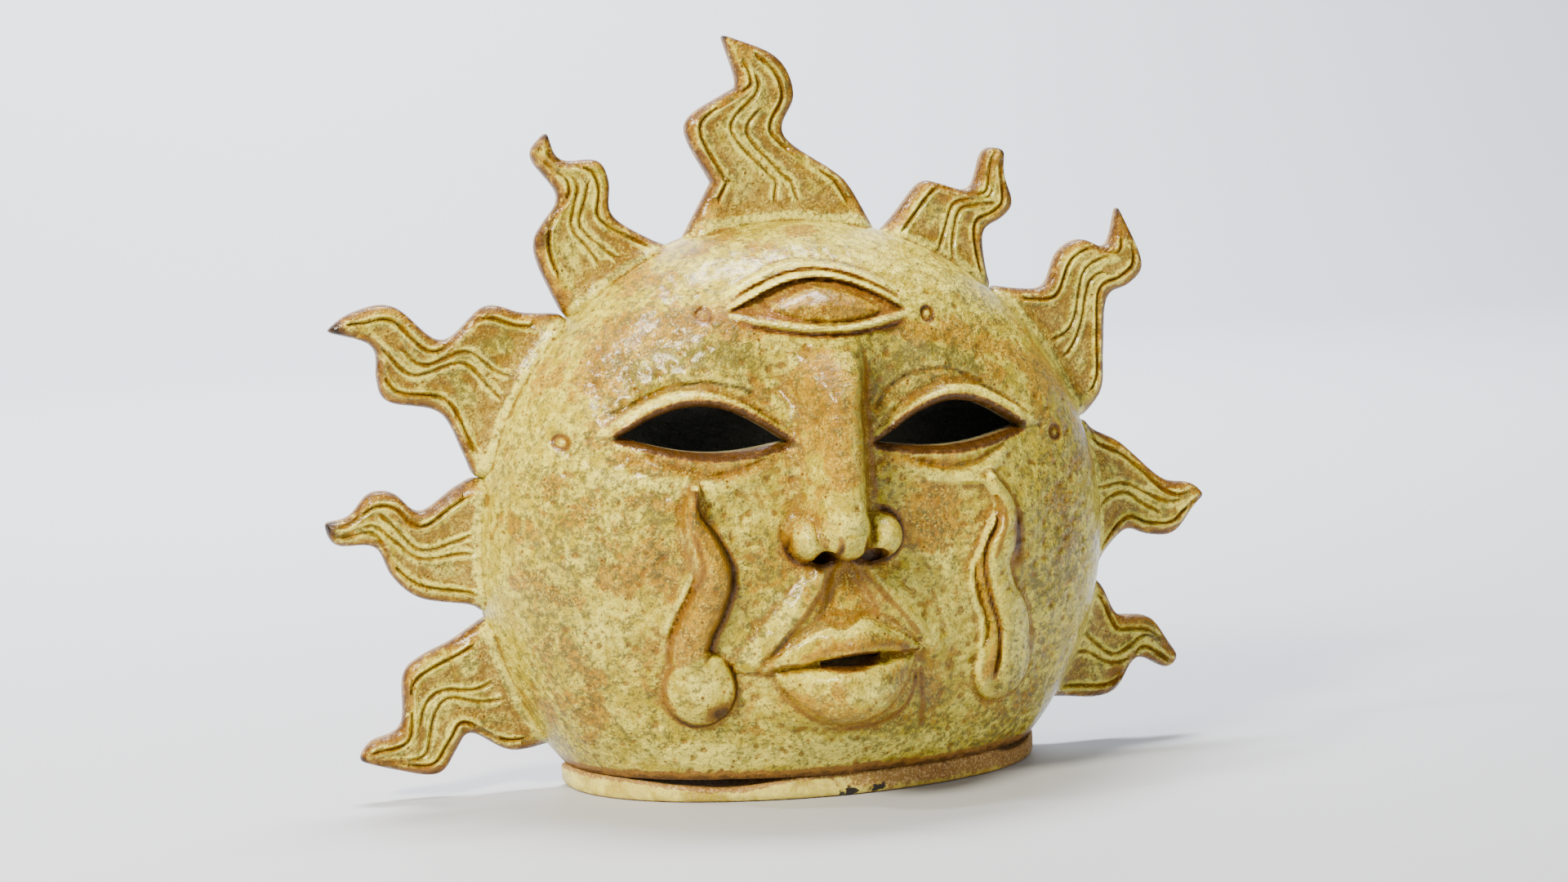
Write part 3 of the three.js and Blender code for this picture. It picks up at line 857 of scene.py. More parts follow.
def base_top(x):
    """The base's wavy top edge: it dips at the left, where the joint is open, and a little at the right."""
    left = 3.3 * np.exp(-(((x + 50) / 27) ** 4)) * rise(-85, -35, x)
    right = 2.0 * np.exp(-(((x - 74) / 9) ** 4))
    return BASE_HEIGHT - left - right


# The base: the columns along it, the rounding of its foot and of its top edge, and its least depth.
BASE_COLUMNS = 260
FOOT_ROUND = 2.6
TOP_ROUND = 1.6
LEAST_DEPTH = 2.2


def base_rings():
    """The rings of the base from its foot up: how far in, a height or share, and what that is taken from."""
    rings = []
    for turn in np.linspace(0, np.pi / 2, 7):
        rings.append((FOOT_ROUND * (1 - math.sin(turn)), FOOT_ROUND * (1 - math.cos(turn)), "foot"))
    rings += [(0, share, "side") for share in (0.25, 0.5, 0.75)]
    for turn in np.linspace(0, np.pi / 2, 6):
        rings.append((TOP_ROUND * (1 - math.cos(turn)), TOP_ROUND * (1 - math.sin(turn)), "top"))
    return rings + [(far_in, 0, "top") for far_in in (3.0, 5.0, 8.0)]


def base_outline():
    """The base from above: along its bulging front, and back along its straight back."""
    across = np.sin(np.linspace(-np.pi / 2, np.pi / 2, BASE_COLUMNS + 1))
    foot_half = math.sqrt(FACE_RADIUS ** 2 - (CIRCLE_HEIGHT - MASK_FOOT) ** 2)
    foot = across * foot_half
    front = dome(foot, np.full_like(foot, MASK_FOOT))
    for at, reach, height in SWELLINGS:
        front = front + bump(foot, MASK_FOOT, at, reach, height) * np.minimum(1, 2 * front / FACE_DEPTH)
    front = np.maximum(LEAST_DEPTH, front + (BASE_HALF_WIDTH - foot_half))
    wide = across * BASE_HALF_WIDTH
    return np.concatenate([np.stack([wide, front], 1), np.stack([wide[::-1], np.zeros(len(wide))], 1)])


def base_piece():
    """The low slab: rings of one outline, with rounded and worn edges."""
    outline = base_outline()
    middle = BASE_DEPTH / 2
    points = []
    for far_in, value, kind in base_rings():
        x = outline[:, 0] * (1 - far_in / BASE_HALF_WIDTH)
        depth = mix(outline[:, 1], middle, far_in / middle)
        top = base_top(x)
        heights = {"foot": value + 0 * x, "side": mix(FOOT_ROUND, top - TOP_ROUND, value), "top": top - value}
        z = heights[kind]
        wear = 0.35 * waves(x + depth * 0.7, z * 3 + depth, 12, 13) + 0.2 * waves(x - depth, z * 4, 13, 5)
        worn = np.abs(wear) * (rise(0, 1.5, z) if kind == "foot" else 1) * (far_in < 3)
        x = x * (1 - worn / BASE_HALF_WIDTH)
        depth = mix(depth, middle, worn / middle * (outline[:, 1] > 0))
        points.append(np.stack([x, depth, z], 1))
    count = len(outline)
    last = (len(points) - 1) * count
    faces = []
    for low in range(0, last, count):
        for step in range(count):
            after = (step + 1) % count
            faces.append([low + step, low + after, low + count + after, low + count + step])
    for step in range(BASE_COLUMNS):
        a, b, c, d = step, step + 1, count - 2 - step, count - 1 - step
        faces += [[a, d, c, b], [last + a, last + b, last + c, last + d]]
    return outward(build("low_base", np.vstack(points), faces))


def positions(thing):
    """Vertex places as x, depth in front of the back plane, and z, in millimetres."""
    x, y, z = mesh_values(thing.data.vertices, "co", 3).T / MM
    return x, BACK - y, z


def paint(thing, name, values):
    """Store values from 0 to 1 at the vertices."""
    layer = thing.data.attributes.new(name, "FLOAT", "POINT")
    layer.data.foreach_set("value", np.ascontiguousarray(clamp(values), dtype=np.float32))


def smooth_shade(thing, angle):
    """Shade smoothly, apart from edges sharper than an angle."""
    thing.data.shade_smooth()
    thing.data.set_sharp_from_angle(angle=math.radians(angle))


SPREAD_TURNS = 3


def mesh_values(parts, name, width, kind=float):
    """One stored value of each vertex or edge, as rows."""
    flat = np.empty(len(parts) * width, dtype=kind)
    parts.foreach_get(name, flat)
    return flat.reshape(-1, width)


def curvature(thing):
    """How far each vertex stands out of its neighbours, in millimetres: convex is positive."""
    mesh = thing.data
    count = len(mesh.vertices)
    place, normal = [mesh_values(mesh.vertices, name, 3) for name in ("co", "normal")]
    a, b = mesh_values(mesh.edges, "vertices", 2, np.int64).T
    total = np.zeros((count, 3))
    number = np.zeros(count)
    for one, other in ((a, b), (b, a)):
        np.add.at(total, one, place[other])
        np.add.at(number, one, 1)
    number = np.maximum(1, number)
    out = ((place - total / number[:, None]) * normal).sum(1) / MM
    for _ in range(SPREAD_TURNS):
        spread = np.zeros(count)
        np.add.at(spread, a, out[b])
        np.add.at(spread, b, out[a])
        out = 0.5 * out + 0.5 * spread / number
    return out


# Patches of glaze, painted highlight and painted shade on the face, in millimetres: place, reach and
# strength.
AMBER = [
    ((-4, 140), (11, 16), 0.75), ((-4, 116), (12, 14), 0.9), ((-10, 100), (12, 5), 0.4),
    ((0, 78), (9, 8), 1.0), ((-50, 168), (26, 5), 0.9), ((-30, 169), (14, 5), 0.8),
    ((48, 161), (22, 5), 0.9), ((68, 152), (14, 6), 0.8), ((-72, 178), (24, 8), 0.55),
    ((-30, 194), (30, 6), 0.5), ((-66, 88), (16, 20), 0.55), ((-72, 60), (20, 16), 0.4),
    ((-30, 60), (14, 10), 0.4), ((32, 98), (18, 16), 0.6), ((-92, 60), (14, 24), 0.35),
    ((0, 40), (20, 8), 0.8), ((-52, 122), (22, 3), 0.95), ((88, 140), (14, 26), 0.6),
    ((-18, 112), (8, 12), 0.4), ((85, 100), (12, 20), 0.35), ((-26, 84), (12, 14), 0.5),
    ((0, 202), (40, 8), 0.35), ((-96, 100), (12, 26), 0.4), ((36, 52), (9, 12), 0.45),
    ((-86, 150), (16, 14), 0.45), ((40, 118), (16, 3), 0.5), ((0, 60), (22, 3), 0.5),
]
# Pale patches on the nose's tip, its left wing and the lower lip are painted highlights.
PALE_AND_HIGHLIGHT_PATCHES = [
    ((-72, 115), (17, 5), 1.0), ((-54, 112), (12, 3), 0.9), ((-74, 102), (13, 10), 0.8),
    ((-24, 70), (8, 12), 0.9), ((-84, 62), (16, 14), 0.6), ((-88, 92), (12, 10), 0.6),
    ((76, 66), (10, 16), 0.5), ((36, 84), (8, 8), 0.5), ((-34, 100), (8, 10), 0.5),
    ((24, 134), (8, 6), 0.4), ((-6, 186), (40, 6), 0.5), ((-64, 176), (16, 6), 0.5),
    ((-1, 101), (6, 7), 0.8), ((62, 117), (10, 4), 0.6), ((-52, 44), (6, 8), 1.0),
    ((0, 18), (90, 6), 1.0), ((6, 42), (9, 5), 0.9), ((-88, 122), (10, 18), 0.5),
    ((66, 50), (6, 16), 0.9), ((-20, 193), (50, 4), 0.35), ((40, 152), (16, 3), 0.4),
    ((-60, 192), (30, 8), 0.3), ((-13, 95), (4, 4), 0.7), ((-28, 122), (10, 5), 0.4),
    ((-45, 60), (4, 6), 0.3), ((-12, 160), (14, 4), 0.5), ((58, 178), (24, 8), 0.4),
]
# Olive patches right of the nose's bridge, under the lower lip and by the chin are painted shade.
OLIVE_AND_SHADE_PATCHES = [
    ((-42, 157), (22, 6), 0.9), ((24, 150), (13, 9), 1.0), ((10, 164), (8, 4), 0.8),
    ((-20, 136), (7, 10), 0.4), ((40, 82), (14, 14), 0.25), ((-96, 80), (10, 40), 0.45),
    ((14, 24), (18, 6), 0.5), ((88, 90), (16, 50), 0.5), ((26, 36), (4, 8), 0.5),
    ((-70, 140), (10, 6), 0.3), ((78, 30), (16, 14), 0.5), ((-50, 26), (18, 6), 0.45),
    ((70, 170), (26, 16), 0.4), ((-84, 90), (8, 8), 0.5), ((-100, 120), (8, 30), 0.4),
]

# Bands of glaze and of painted shade that follow a line: points, half width and strength.
AMBER_BANDS = [
    ([(-84, 144), (-74, 155), (-58, 166), (-36, 170), (-20, 167)], 5, 1.0),
    ([(20, 166), (36, 162), (52, 158), (73, 151), (84, 144)], 4.5, 1.0),
    ([(-76, 125), (-55, 119.5), (-38, 118), (-20, 122)], 2.6, 1.0),
    ([(14, 121), (36, 117.5), (60, 119)], 2.4, 0.9),
    ([(-9, 162), (-6, 145), (-5, 128), (-4, 108)], 8, 1.0),
    ([(-22, 53), (-8, 57), (4, 58.5), (14, 57.5), (22, 54)], 3.2, 1.0),
    ([(-13, 78), (-23, 64), (-32, 52)], 2.2, 0.8),
    ([(-92, 168), (-70, 186), (-44, 196)], 6, 0.7),
    ([(-24, 44), (-16, 36), (-4, 31), (9, 31)], 4.5, 1.0),
    ([(-9, 80), (0, 76), (8, 80)], 4, 0.9),
]
# Olive bands over both eyes, down the nose's right side and by the chin are painted shade.
OLIVE_AND_SHADE_BANDS = [
    ([(-70, 149), (-57, 156), (-42, 159), (-26, 157)], 5, 1.0),
    ([(16, 141), (20, 150), (30, 156), (44, 154), (60, 146)], 4, 1.0),
    ([(10, 162), (9.5, 145), (9, 128), (10, 108)], 3.6, 1.0),
    ([(-42, 52), (-30, 66), (-18, 79)], 3.0, 0.6),
    ([(27, 44), (27, 34), (28, 22)], 3.0, 0.9),
    ([(-68, 112), (-62, 96), (-66, 80)], 3.0, 0.5),
]
PALE_BANDS = [
    ([(-84, 119), (-70, 116.5), (-56, 114.5), (-42, 115)], 3.4, 1.0),
    ([(-18, 59.5), (-10, 64.5), (-4, 62.5), (4, 65.5), (11, 64.5), (19, 60), (25, 55)], 1.7, 1.0),
    ([(-15, 76), (-27, 65), (-38, 52)], 3.4, 0.8),
    ([(14, 80), (24, 70), (33, 56)], 2.6, 0.6),
    ([(30, 113), (44, 112), (60, 115)], 1.6, 0.8),
    ([(-12, 158), (-17, 150), (-22, 142)], 2.2, 0.6),
]
# Bands by the nose's right side, the upper lip's lower part, the lower lip's lower right and the chin are
# painted shade.
DARK_AND_SHADE_BANDS = [
    ([(12, 158), (12.5, 140), (12, 124), (12.5, 106)], 1.5, 0.55),
    ([(-51.5, 114), (-50.5, 106)], 1.5, 1.0),
    ([(25, 47), (23, 39), (18, 32), (9, 28), (-4, 27)], 1.3, 0.7),
    ([(-25, 45), (-19, 36), (-9, 29)], 1.1, 0.45),
    ([(26.5, 48), (27, 36), (28, 23)], 1.7, 0.6),
    ([(-4, 85), (-9, 77), (-18, 66), (-29, 53)], 1.7, 0.72),
    ([(4, 85), (9, 78), (18, 68), (26, 58)], 1.5, 0.6),
    ([(-20, 62), (-11, 67), (-4, 65), (4, 68), (12, 67), (20, 62)], 1.1, 0.5),
    ([(55, 106), (59, 98), (57, 90), (54, 82)], 1.3, 0.6),
    ([(-17, 163), (-15, 150), (-14, 136)], 1.0, 0.4),
    ([(-20, 54.5), (-8, 57.5), (4, 58.5), (14, 57.5), (21, 54.5)], 1.8, 0.42),
    ([(-26, 51.5), (-12, 53)], 0.9, 0.6),
    ([(11, 54.5), (26, 53.5)], 0.9, 0.8),
]


def spots(x, z, places, bands=()):
    """The strongest of the round patches and of the bands at each place."""
    total = np.zeros(x.shape)
    for at, reach, strength in places:
        total = np.maximum(total, bump(x, z, at, reach, strength))
    for points, wide, strength in bands:
        total = np.maximum(total, strength * near_line(x, z, spline(points, 5), wide))
    return total


def near_line(x, z, line, wide):
    """1 on a line, falling off beside it and at its ends."""
    away, share = along_line(x, z, line, 3 * wide)
    return hill(away, wide) * ends(share, 5)


def third_eye_marks(x, z):
    """The painted shade of the recess, the dark lines, the pale crests and the ball of the third eye."""
    share, above, below = almond_place(x, z, THIRD_EYE)
    ball_share, over, beneath = almond_place(x, z, THIRD_BALL)
    across, fade = within(share), ends(share, 4)
    lens = across * rise(0.5, -0.5, above) * rise(-0.2, 0.8, below)
    ball = within(ball_share) * rise(0.4, -0.8, np.maximum(over, -beneath))
    # Painted shade in the recess round the ball, darkest under the upper lid.
    dark = lens * (1 - ball) * mix(0.62, 0.95, rise(-2.4, -0.4, above))
    under = across * hill(below + 3.2, 1.1) * fade
    upper = 0.8 * across * hill(above - 2.9, 0.8) * fade
    crest = across * np.maximum(hill(above - 1.2, 0.9) + hill(above - 4.6, 1.0), hill(below + 1.2, 0.9))
    return np.maximum.reduce([dark, under, upper]), crest, ball


def tear_marks(x, z):
    """Where the glaze of the tears is dark, pale and amber, and where their painted shadows fall."""
    left_shape, right_shape = TEARS
    left, right = tear(x, z, left_shape), tear(x, z, right_shape)
    away, share = along_line(x, z, LEFT_TEAR, 14)
    part = away / mix(*left_shape["widths"], rise(0, left_shape["grown"], share))
    right_of = rise(-1, 2, x - np.interp(z, LEFT_TEAR[::-1, 1], LEFT_TEAR[::-1, 0]))
    drop = drop_inside(x, z, left_shape)
    body = (drop < 0.05) * rise(50, 54, z)
    drop_x, drop_z = left_shape["drop"]
    lower_right = rise(-8, 7, (x - drop_x) - 0.7 * (z - drop_z))
    edge = hill(right - 0.2, 0.22) * (right > 0.001)
    # Brown glaze outlines, and painted shadow on the tears' right edges and at the left drop's lower right.
    dark = np.maximum.reduce([
        body * right_of * hill(part - 0.95, mix(0.35, 0.42, rise(90, 75, z))) * rise(115, 108, z),
        0.55 * body * (1 - right_of) * hill(part - 1.0, 0.2),
        hill(drop - 0.04, 0.16) * mix(0.6, 1.0, lower_right) * rise(57, 51, z),
        bump(x, z, (-43.5, 34.5), (6, 5)) * rise(-0.15, 0.05, drop),
        near_line(x, z, LEFT_RIDGE + np.array([2.6, -0.6]), 1.0) * 0.75,
        edge * mix(0.15, 0.6, rise(57, 62, x)),
        bump(x, z, (65.3, 89), (3.2, 14)),
        near_line(x, z, RIGHT_FOLD, 1.1) * 0.8,
    ])
    pale = np.maximum(near_line(x, z, RIGHT_RIDGE, 1.2), near_line(x, z, LEFT_RIDGE, 1.2) * 0.8)
    beside_fold = near_line(x, z, RIGHT_FOLD[:len(RIGHT_RIDGE)] + np.array([-2.6, 0]), 2.2)
    amber = np.maximum(rise(0.2, 0.6, left) * rise(0.5, 0.1, drop), beside_fold)
    return dark, pale, amber


# A dark blotch on one flame, and how far the dark end of a flame's tip reaches where it isn't 3 mm.
TIP_BLOTCH = ((-88, 200), (5, 8))
TIP_REACH = {"upper_left": 7.0, "left": 5.5, "top_left": 4.5, "upper_right": 4.0, "right": 3.5}

# The flow of the glaze along a flame: where to look for its points, its width, and how far apart the flames'
# streaks are in the noise.
FLAME_REACH = 62
FLAME_WIDTH = 22
FLAME_SHIFT = 40


def ray_flow(points):
    """For each point of the flames, its place across and along its flame, and how near a dark tip it is."""
    best = np.full(len(points), 1e9)
    flow = np.zeros((len(points), 3))
    tips = np.zeros(len(points))
    for number, ray in enumerate(RAYS):
        left, right = ray_edges(ray)
        middle = (left + right) / 2
        near = np.hypot(*(points - middle[len(middle) // 2]).T) < FLAME_REACH
        away, share = along_line(points[near, 0], points[near, 1], middle, 40)
        to_left = line_distance(points[near], left)
        to_right = line_distance(points[near], right)
        length = np.linalg.norm(np.diff(middle, axis=0), axis=1).sum()
        across = FLAME_WIDTH * to_left / (to_left + to_right + 1e-6)
        place = np.stack([across, share * length, np.full(len(away), FLAME_SHIFT * number)], 1)
        closer = away < best[near]
        index = np.flatnonzero(near)[closer]
        flow[index] = place[closer]
        best[index] = away[closer]
        gap = np.hypot(*(points - left[-1]).T)
        tips = np.maximum(tips, rise(1.4, 0.5, gap / TIP_REACH.get(ray["name"], 3.0)))
    return flow, tips


def ray_paints(x, z, lines, tips):
    """Paints of the flames' fronts: grooves, burrs, worn edges, tips and the glaze between them."""
    points = np.stack([x, z], 1)
    edges = [edge[1:] for ray in RAYS for edge in ray_edges(ray)]
    edge_gap = np.minimum.reduce([line_distance(points, edge) for edge in edges])
    line_gap = np.minimum.reduce([line_distance(points, line) for line, strength in lines])

    def swayed(seed, size):
        return edge_gap + 2.5 * waves(x, z, seed, size)

    return {
        "groove": 0.8 * hill(line_gap, 0.55) * clamp(0.62 + 0.75 * waves(x, z, 41, 7)),
        "burr": hill(line_gap - 1.4, 0.8) * clamp(0.85 + 0.5 * waves(x, z, 42, 9)),
        "edge": hill(edge_gap, 1.7 + 2.2 * clamp(waves(x, z, 43, 15))),
        "amber": rise(7.5, 2.5, swayed(44, 19)),
        "olive": 0.45 * rise(2, 8, swayed(45, 13)),
        "pale": 0.55 * rise(3, 9, swayed(46, 21)),
        "tip": np.maximum(tips, 0.75 * bump(x, z, *TIP_BLOTCH)),
    }


def nose_and_dimple_shade(x, z):
    """Painted shade round the nose's wings, in and under the nostrils, along the philtrum and in the dimples.
    """
    wing_gap = np.hypot(np.abs(x + 0.6) - 12.5, (z - 93.5) * 0.9)
    down = PHILTRUM["top"] - z
    nostrils = bump(x, z, (9, 87.5), (5.6, 4.2)) + bump(x, z, (-9, 87.5), (5.4, 4.0))
    sides = hill(np.abs(x + 0.5) - (3 + 8 * clamp(down / 17)), 1.3)
    return [
        hill(wing_gap - 7.6, 1.2) * rise(100, 92, z) * rise(82, 86, z),
        nostrils + bump(x, z, (0, 86.5), (13, 2.4), 0.6),
        hill(np.hypot(x - 12.2, z - 94.5) - 8.8, 1.6) * rise(11, 14, x),
        0.6 * sides * rise(-1, 2, down) * rise(18, 15, down),
        0.35 * hill(down - 16.5, 1.6) * rise(12, 9, np.abs(x)),
    ] + [0.85 * hill(np.hypot(x - at[0], z - at[1]) - 2.4, 0.9) for at in DIMPLES]


def face_paints(x, z):
    """Paints of the face: rims, dark glaze and painted shade, pale crests and painted highlights, lines and
    the patches of the glaze.
    """
    rim, crest, ball = third_eye_marks(x, z)
    tear_dark_and_shadow, tear_pale, tear_amber = tear_marks(x, z)
    for eye in EYES:
        gap = eye_distance(x, z, eye)
        rim = np.maximum(rim, rise(EYE_RIM + 0.6, EYE_RIM - 0.8, gap))
        share, above, band = lid_band(x, z, eye)
        lid = within(share) * rise(band, band * 0.8, above) * rise(-0.6 * band, -0.2 * band, above)
        crest = np.maximum(crest, 0.66 * lid * rise(EYE_RIM, EYE_RIM + 1, gap))
    share, over, under = almond_place(x, z, MOUTH)
    veined = ball * clamp(0.10 + 0.45 * waves(2 * x, z, 51, 6))
    return {
        "rim": np.maximum(rim, within(share) * rise(2.4, 0.6, np.maximum(over, -under))),
        "dark": np.maximum.reduce([tear_dark_and_shadow, veined, spots(x, z, (), DARK_AND_SHADE_BANDS)] + nose_and_dimple_shade(x, z)),
        "groove": face_lines(x, z),
        "burr": np.maximum(crest, tear_pale),
        "amber": np.maximum.reduce([spots(x, z, AMBER, AMBER_BANDS), tear_amber, ball]),
        "pale": spots(x, z, PALE_AND_HIGHLIGHT_PATCHES, PALE_BANDS),
        "olive": spots(x, z, OLIVE_AND_SHADE_PATCHES, OLIVE_AND_SHADE_BANDS),
    }


def paint_mask(mask, lines):
    """Store where each layer of the glaze, of painted shade and of painted highlights lies, as attributes
    that the material reads.
    """
    x, depth, z = positions(mask)
    out = np.hypot(x, z - CIRCLE_HEIGHT)
    on_ray = (out > FACE_RADIUS + 0.5) & (depth > 0.5)
    on_face = (out <= FACE_RADIUS + 0.5) & (depth > hollow_depth(x, z) + 1.5)
    names = ("groove", "burr", "edge", "rim", "amber", "pale", "olive", "dark", "tip")
    paints = {name: np.zeros(len(x)) for name in names}
    ray_places, tips = ray_flow(np.stack([x[on_ray], z[on_ray]], 1))
    found = ray_paints(x[on_ray], z[on_ray], lines, tips), face_paints(x[on_face], z[on_face])
    for part, part_paints in zip((on_ray, on_face), found):
        for name, values in part_paints.items():
            paints[name][part] = values
    seam = hill(out - FACE_RADIUS - 1.5, 2.2) * (depth > 0.5)
    paints["pale"] = np.maximum(paints["pale"], 0.75 * seam)
    paints["joint"] = hill(np.maximum(0, z - MASK_FOOT), 3.8) * (depth > 1)
    paints["inside"] = (depth > 1) & (out < FACE_RADIUS - 3) & (depth < hollow_depth(x, z) + 0.6)
    paints["back"] = depth < 0.8
    paints["flame"] = on_ray * np.interp(out, (FACE_RADIUS, FACE_RADIUS + 6), (0, 1))
    paints["proud"] = 0.5 + 6 * curvature(mask)
    for name, values in paints.items():
        paint(mask, name, values)
    flow = np.zeros((len(x), 3), dtype=np.float32)
    flow[on_ray] = ray_places
    layer = mask.data.attributes.new("flow", "FLOAT_VECTOR", "POINT")
    layer.data.foreach_set("vector", flow.ravel())


def paint_base(base):
    """Store where the base's clay is bare, chipped and amber."""
    x, _, z = positions(base)
    top = base_top(x)
    bare = np.maximum(rise(-20, 30, x) * rise(top - 9.5, top - 3, z), hill(top - z, 1.6))
    chips = bump(x, z, (3, 1.5), (5, 2.4)) + bump(x, z, (14, 2.0), (4, 2.0))
    under = (z < 0.4).astype(float)
    paint(base, "bare", np.maximum(bare, under))
    paint(base, "chip", chips)
    paint(base, "side", 0.7 * rise(-30, 50, x))


class Nodes:
    """A small helper for writing a material's node tree."""

    def __init__(self, name):
        self.material = bpy.data.materials.new(name)
        self.material.use_nodes = True
        self.material.node_tree.nodes.clear()
        self.shader = self.add("ShaderNodeBsdfPrincipled")
        self.link(self.shader.outputs[0], self.add("ShaderNodeOutputMaterial").inputs[0])
        self.place = self.add("ShaderNodeTexCoord").outputs["Object"]
        self.color = None

    def link(self, source, target):
        if hasattr(source, "is_linked"):
            self.material.node_tree.links.new(source, target)
        else:
            target.default_value = source

    def add(self, kind, inputs=(), **settings):
        """A new node with its settings, and with its inputs linked or set."""
        node = self.material.node_tree.nodes.new(kind)
        for name, value in settings.items():
            setattr(node, name, value)
        for name, value in dict(inputs).items():
            self.link(value, node.inputs[name])
        return node

    def attribute(self, name):
        return self.add("ShaderNodeAttribute", attribute_name=name).outputs["Fac"]

    def math(self, operation, *values):
        return self.add("ShaderNodeMath", enumerate(values), operation=operation).outputs[0]

    def times(self, first, second):
        return self.math("MULTIPLY", first, second)

    def swayed(self, value, noise, amount, middle=0.5):
        """A value raised and lowered by a noise round its middle."""
        return self.math("MULTIPLY_ADD", self.math("SUBTRACT", noise, middle), amount, value)

    def vector(self, operation, *values):
        return self.add("ShaderNodeVectorMath", enumerate(values), operation=operation).outputs[0]

    def noise(self, scale, detail=4, roughness=0.55, distortion=0.0, shift=0.0, place=None, output="Fac"):
        """Noise of a scale per metre, shifted so that no two are alike."""
        if place is None:
            place = self.vector("ADD", self.place, (shift, shift * 0.7, -shift))
        inputs = {"Vector": place, "Scale": scale, "Detail": detail}
        inputs.update({"Roughness": roughness, "Distortion": distortion})
        return self.add("ShaderNodeTexNoise", inputs).outputs[output]

    def streaks(self, name, across, along):
        """Noise drawn out along a stored flow: its size in millimetres across and along."""
        flow = self.add("ShaderNodeAttribute", attribute_name=name).outputs["Vector"]
        place = self.vector("MULTIPLY_ADD", flow, (1 / across, 1 / along, 0.31), (0, 0, 0))
        return self.noise(1, 2, 0.5, 0.25, place=place)

    def cells(self, scale, place, **settings):
        """Distance in a pattern of cells: to their middles, or to their edges if the settings say so."""
        node = self.add("ShaderNodeTexVoronoi", {"Scale": scale, "Vector": place}, **settings)
        return node.outputs["Distance"]

    def veins(self, scale, warp):
        """Distance to the edges of warped cells."""
        sway = self.noise(scale * 0.7, 2, 0.5, output="Color")
        place = self.vector("MULTIPLY_ADD", sway, (warp, warp, warp), self.place)
        return self.cells(scale, place, feature="DISTANCE_TO_EDGE")

    def step(self, value, low, high):
        """Rise smoothly from 0 to 1 between two values."""
        inputs = {"Value": value, "From Min": low, "From Max": high}
        return self.add("ShaderNodeMapRange", inputs, interpolation_type="SMOOTHSTEP").outputs["Result"]

    def blend(self, share, first, second):
        return self.add("ShaderNodeMix", {"Factor": share, 6: first, 7: second}, data_type="RGBA").outputs[2]

    def lay(self, color, value, limits=None, strength=1.0):
        """Lay a colour over those below, where a value is 1 or rises from one limit to the other."""
        share = self.step(value, *limits) if limits else value
        if strength < 1:
            share = self.times(share, strength)
        self.color = self.blend(share, self.color, color)

    def bumped(self, layers):
        """A normal from layers of height, strength and depth in metres, the broadest first."""
        normal = ()
        for height, strength, distance in layers:
            inputs = [("Height", height), ("Strength", strength), ("Distance", distance), *normal]
            normal = [("Normal", self.add("ShaderNodeBump", inputs).outputs["Normal"])]
        return normal[0][1]

    def finish(self, **inputs):
        """Link or set the shader's inputs, and give the material."""
        for name, value in inputs.items():
            self.link(value, self.shader.inputs[name.replace("_", " ")])
        return self.material


# Colours of the glaze and of the clay; some also lay painted shade and painted highlights.
CREAM = (0.67, 0.575, 0.060, 1)
PALE_GLAZE_AND_HIGHLIGHT = (0.80, 0.71, 0.115, 1)
STRAW = (0.42, 0.32, 0.010, 1)
OLIVE_GLAZE_AND_SHADE = (0.100, 0.085, 0.018, 1)
AMBER_GLAZE = (0.41, 0.215, 0.001, 1)
DEEP_AMBER = (0.21, 0.088, 0.001, 1)
BROWN = (0.058, 0.021, 0.002, 1)
DARK = (0.010, 0.005, 0.002, 1)
CLAY_AND_SHADE = (0.24, 0.098, 0.014, 1)
PINK_CLAY = (0.62, 0.42, 0.16, 1)
INNER_CLAY = (0.19, 0.19, 0.16, 1)
BACK_CLAY = (0.27, 0.165, 0.07, 1)
BACK_STAIN = (0.19, 0.105, 0.040, 1)


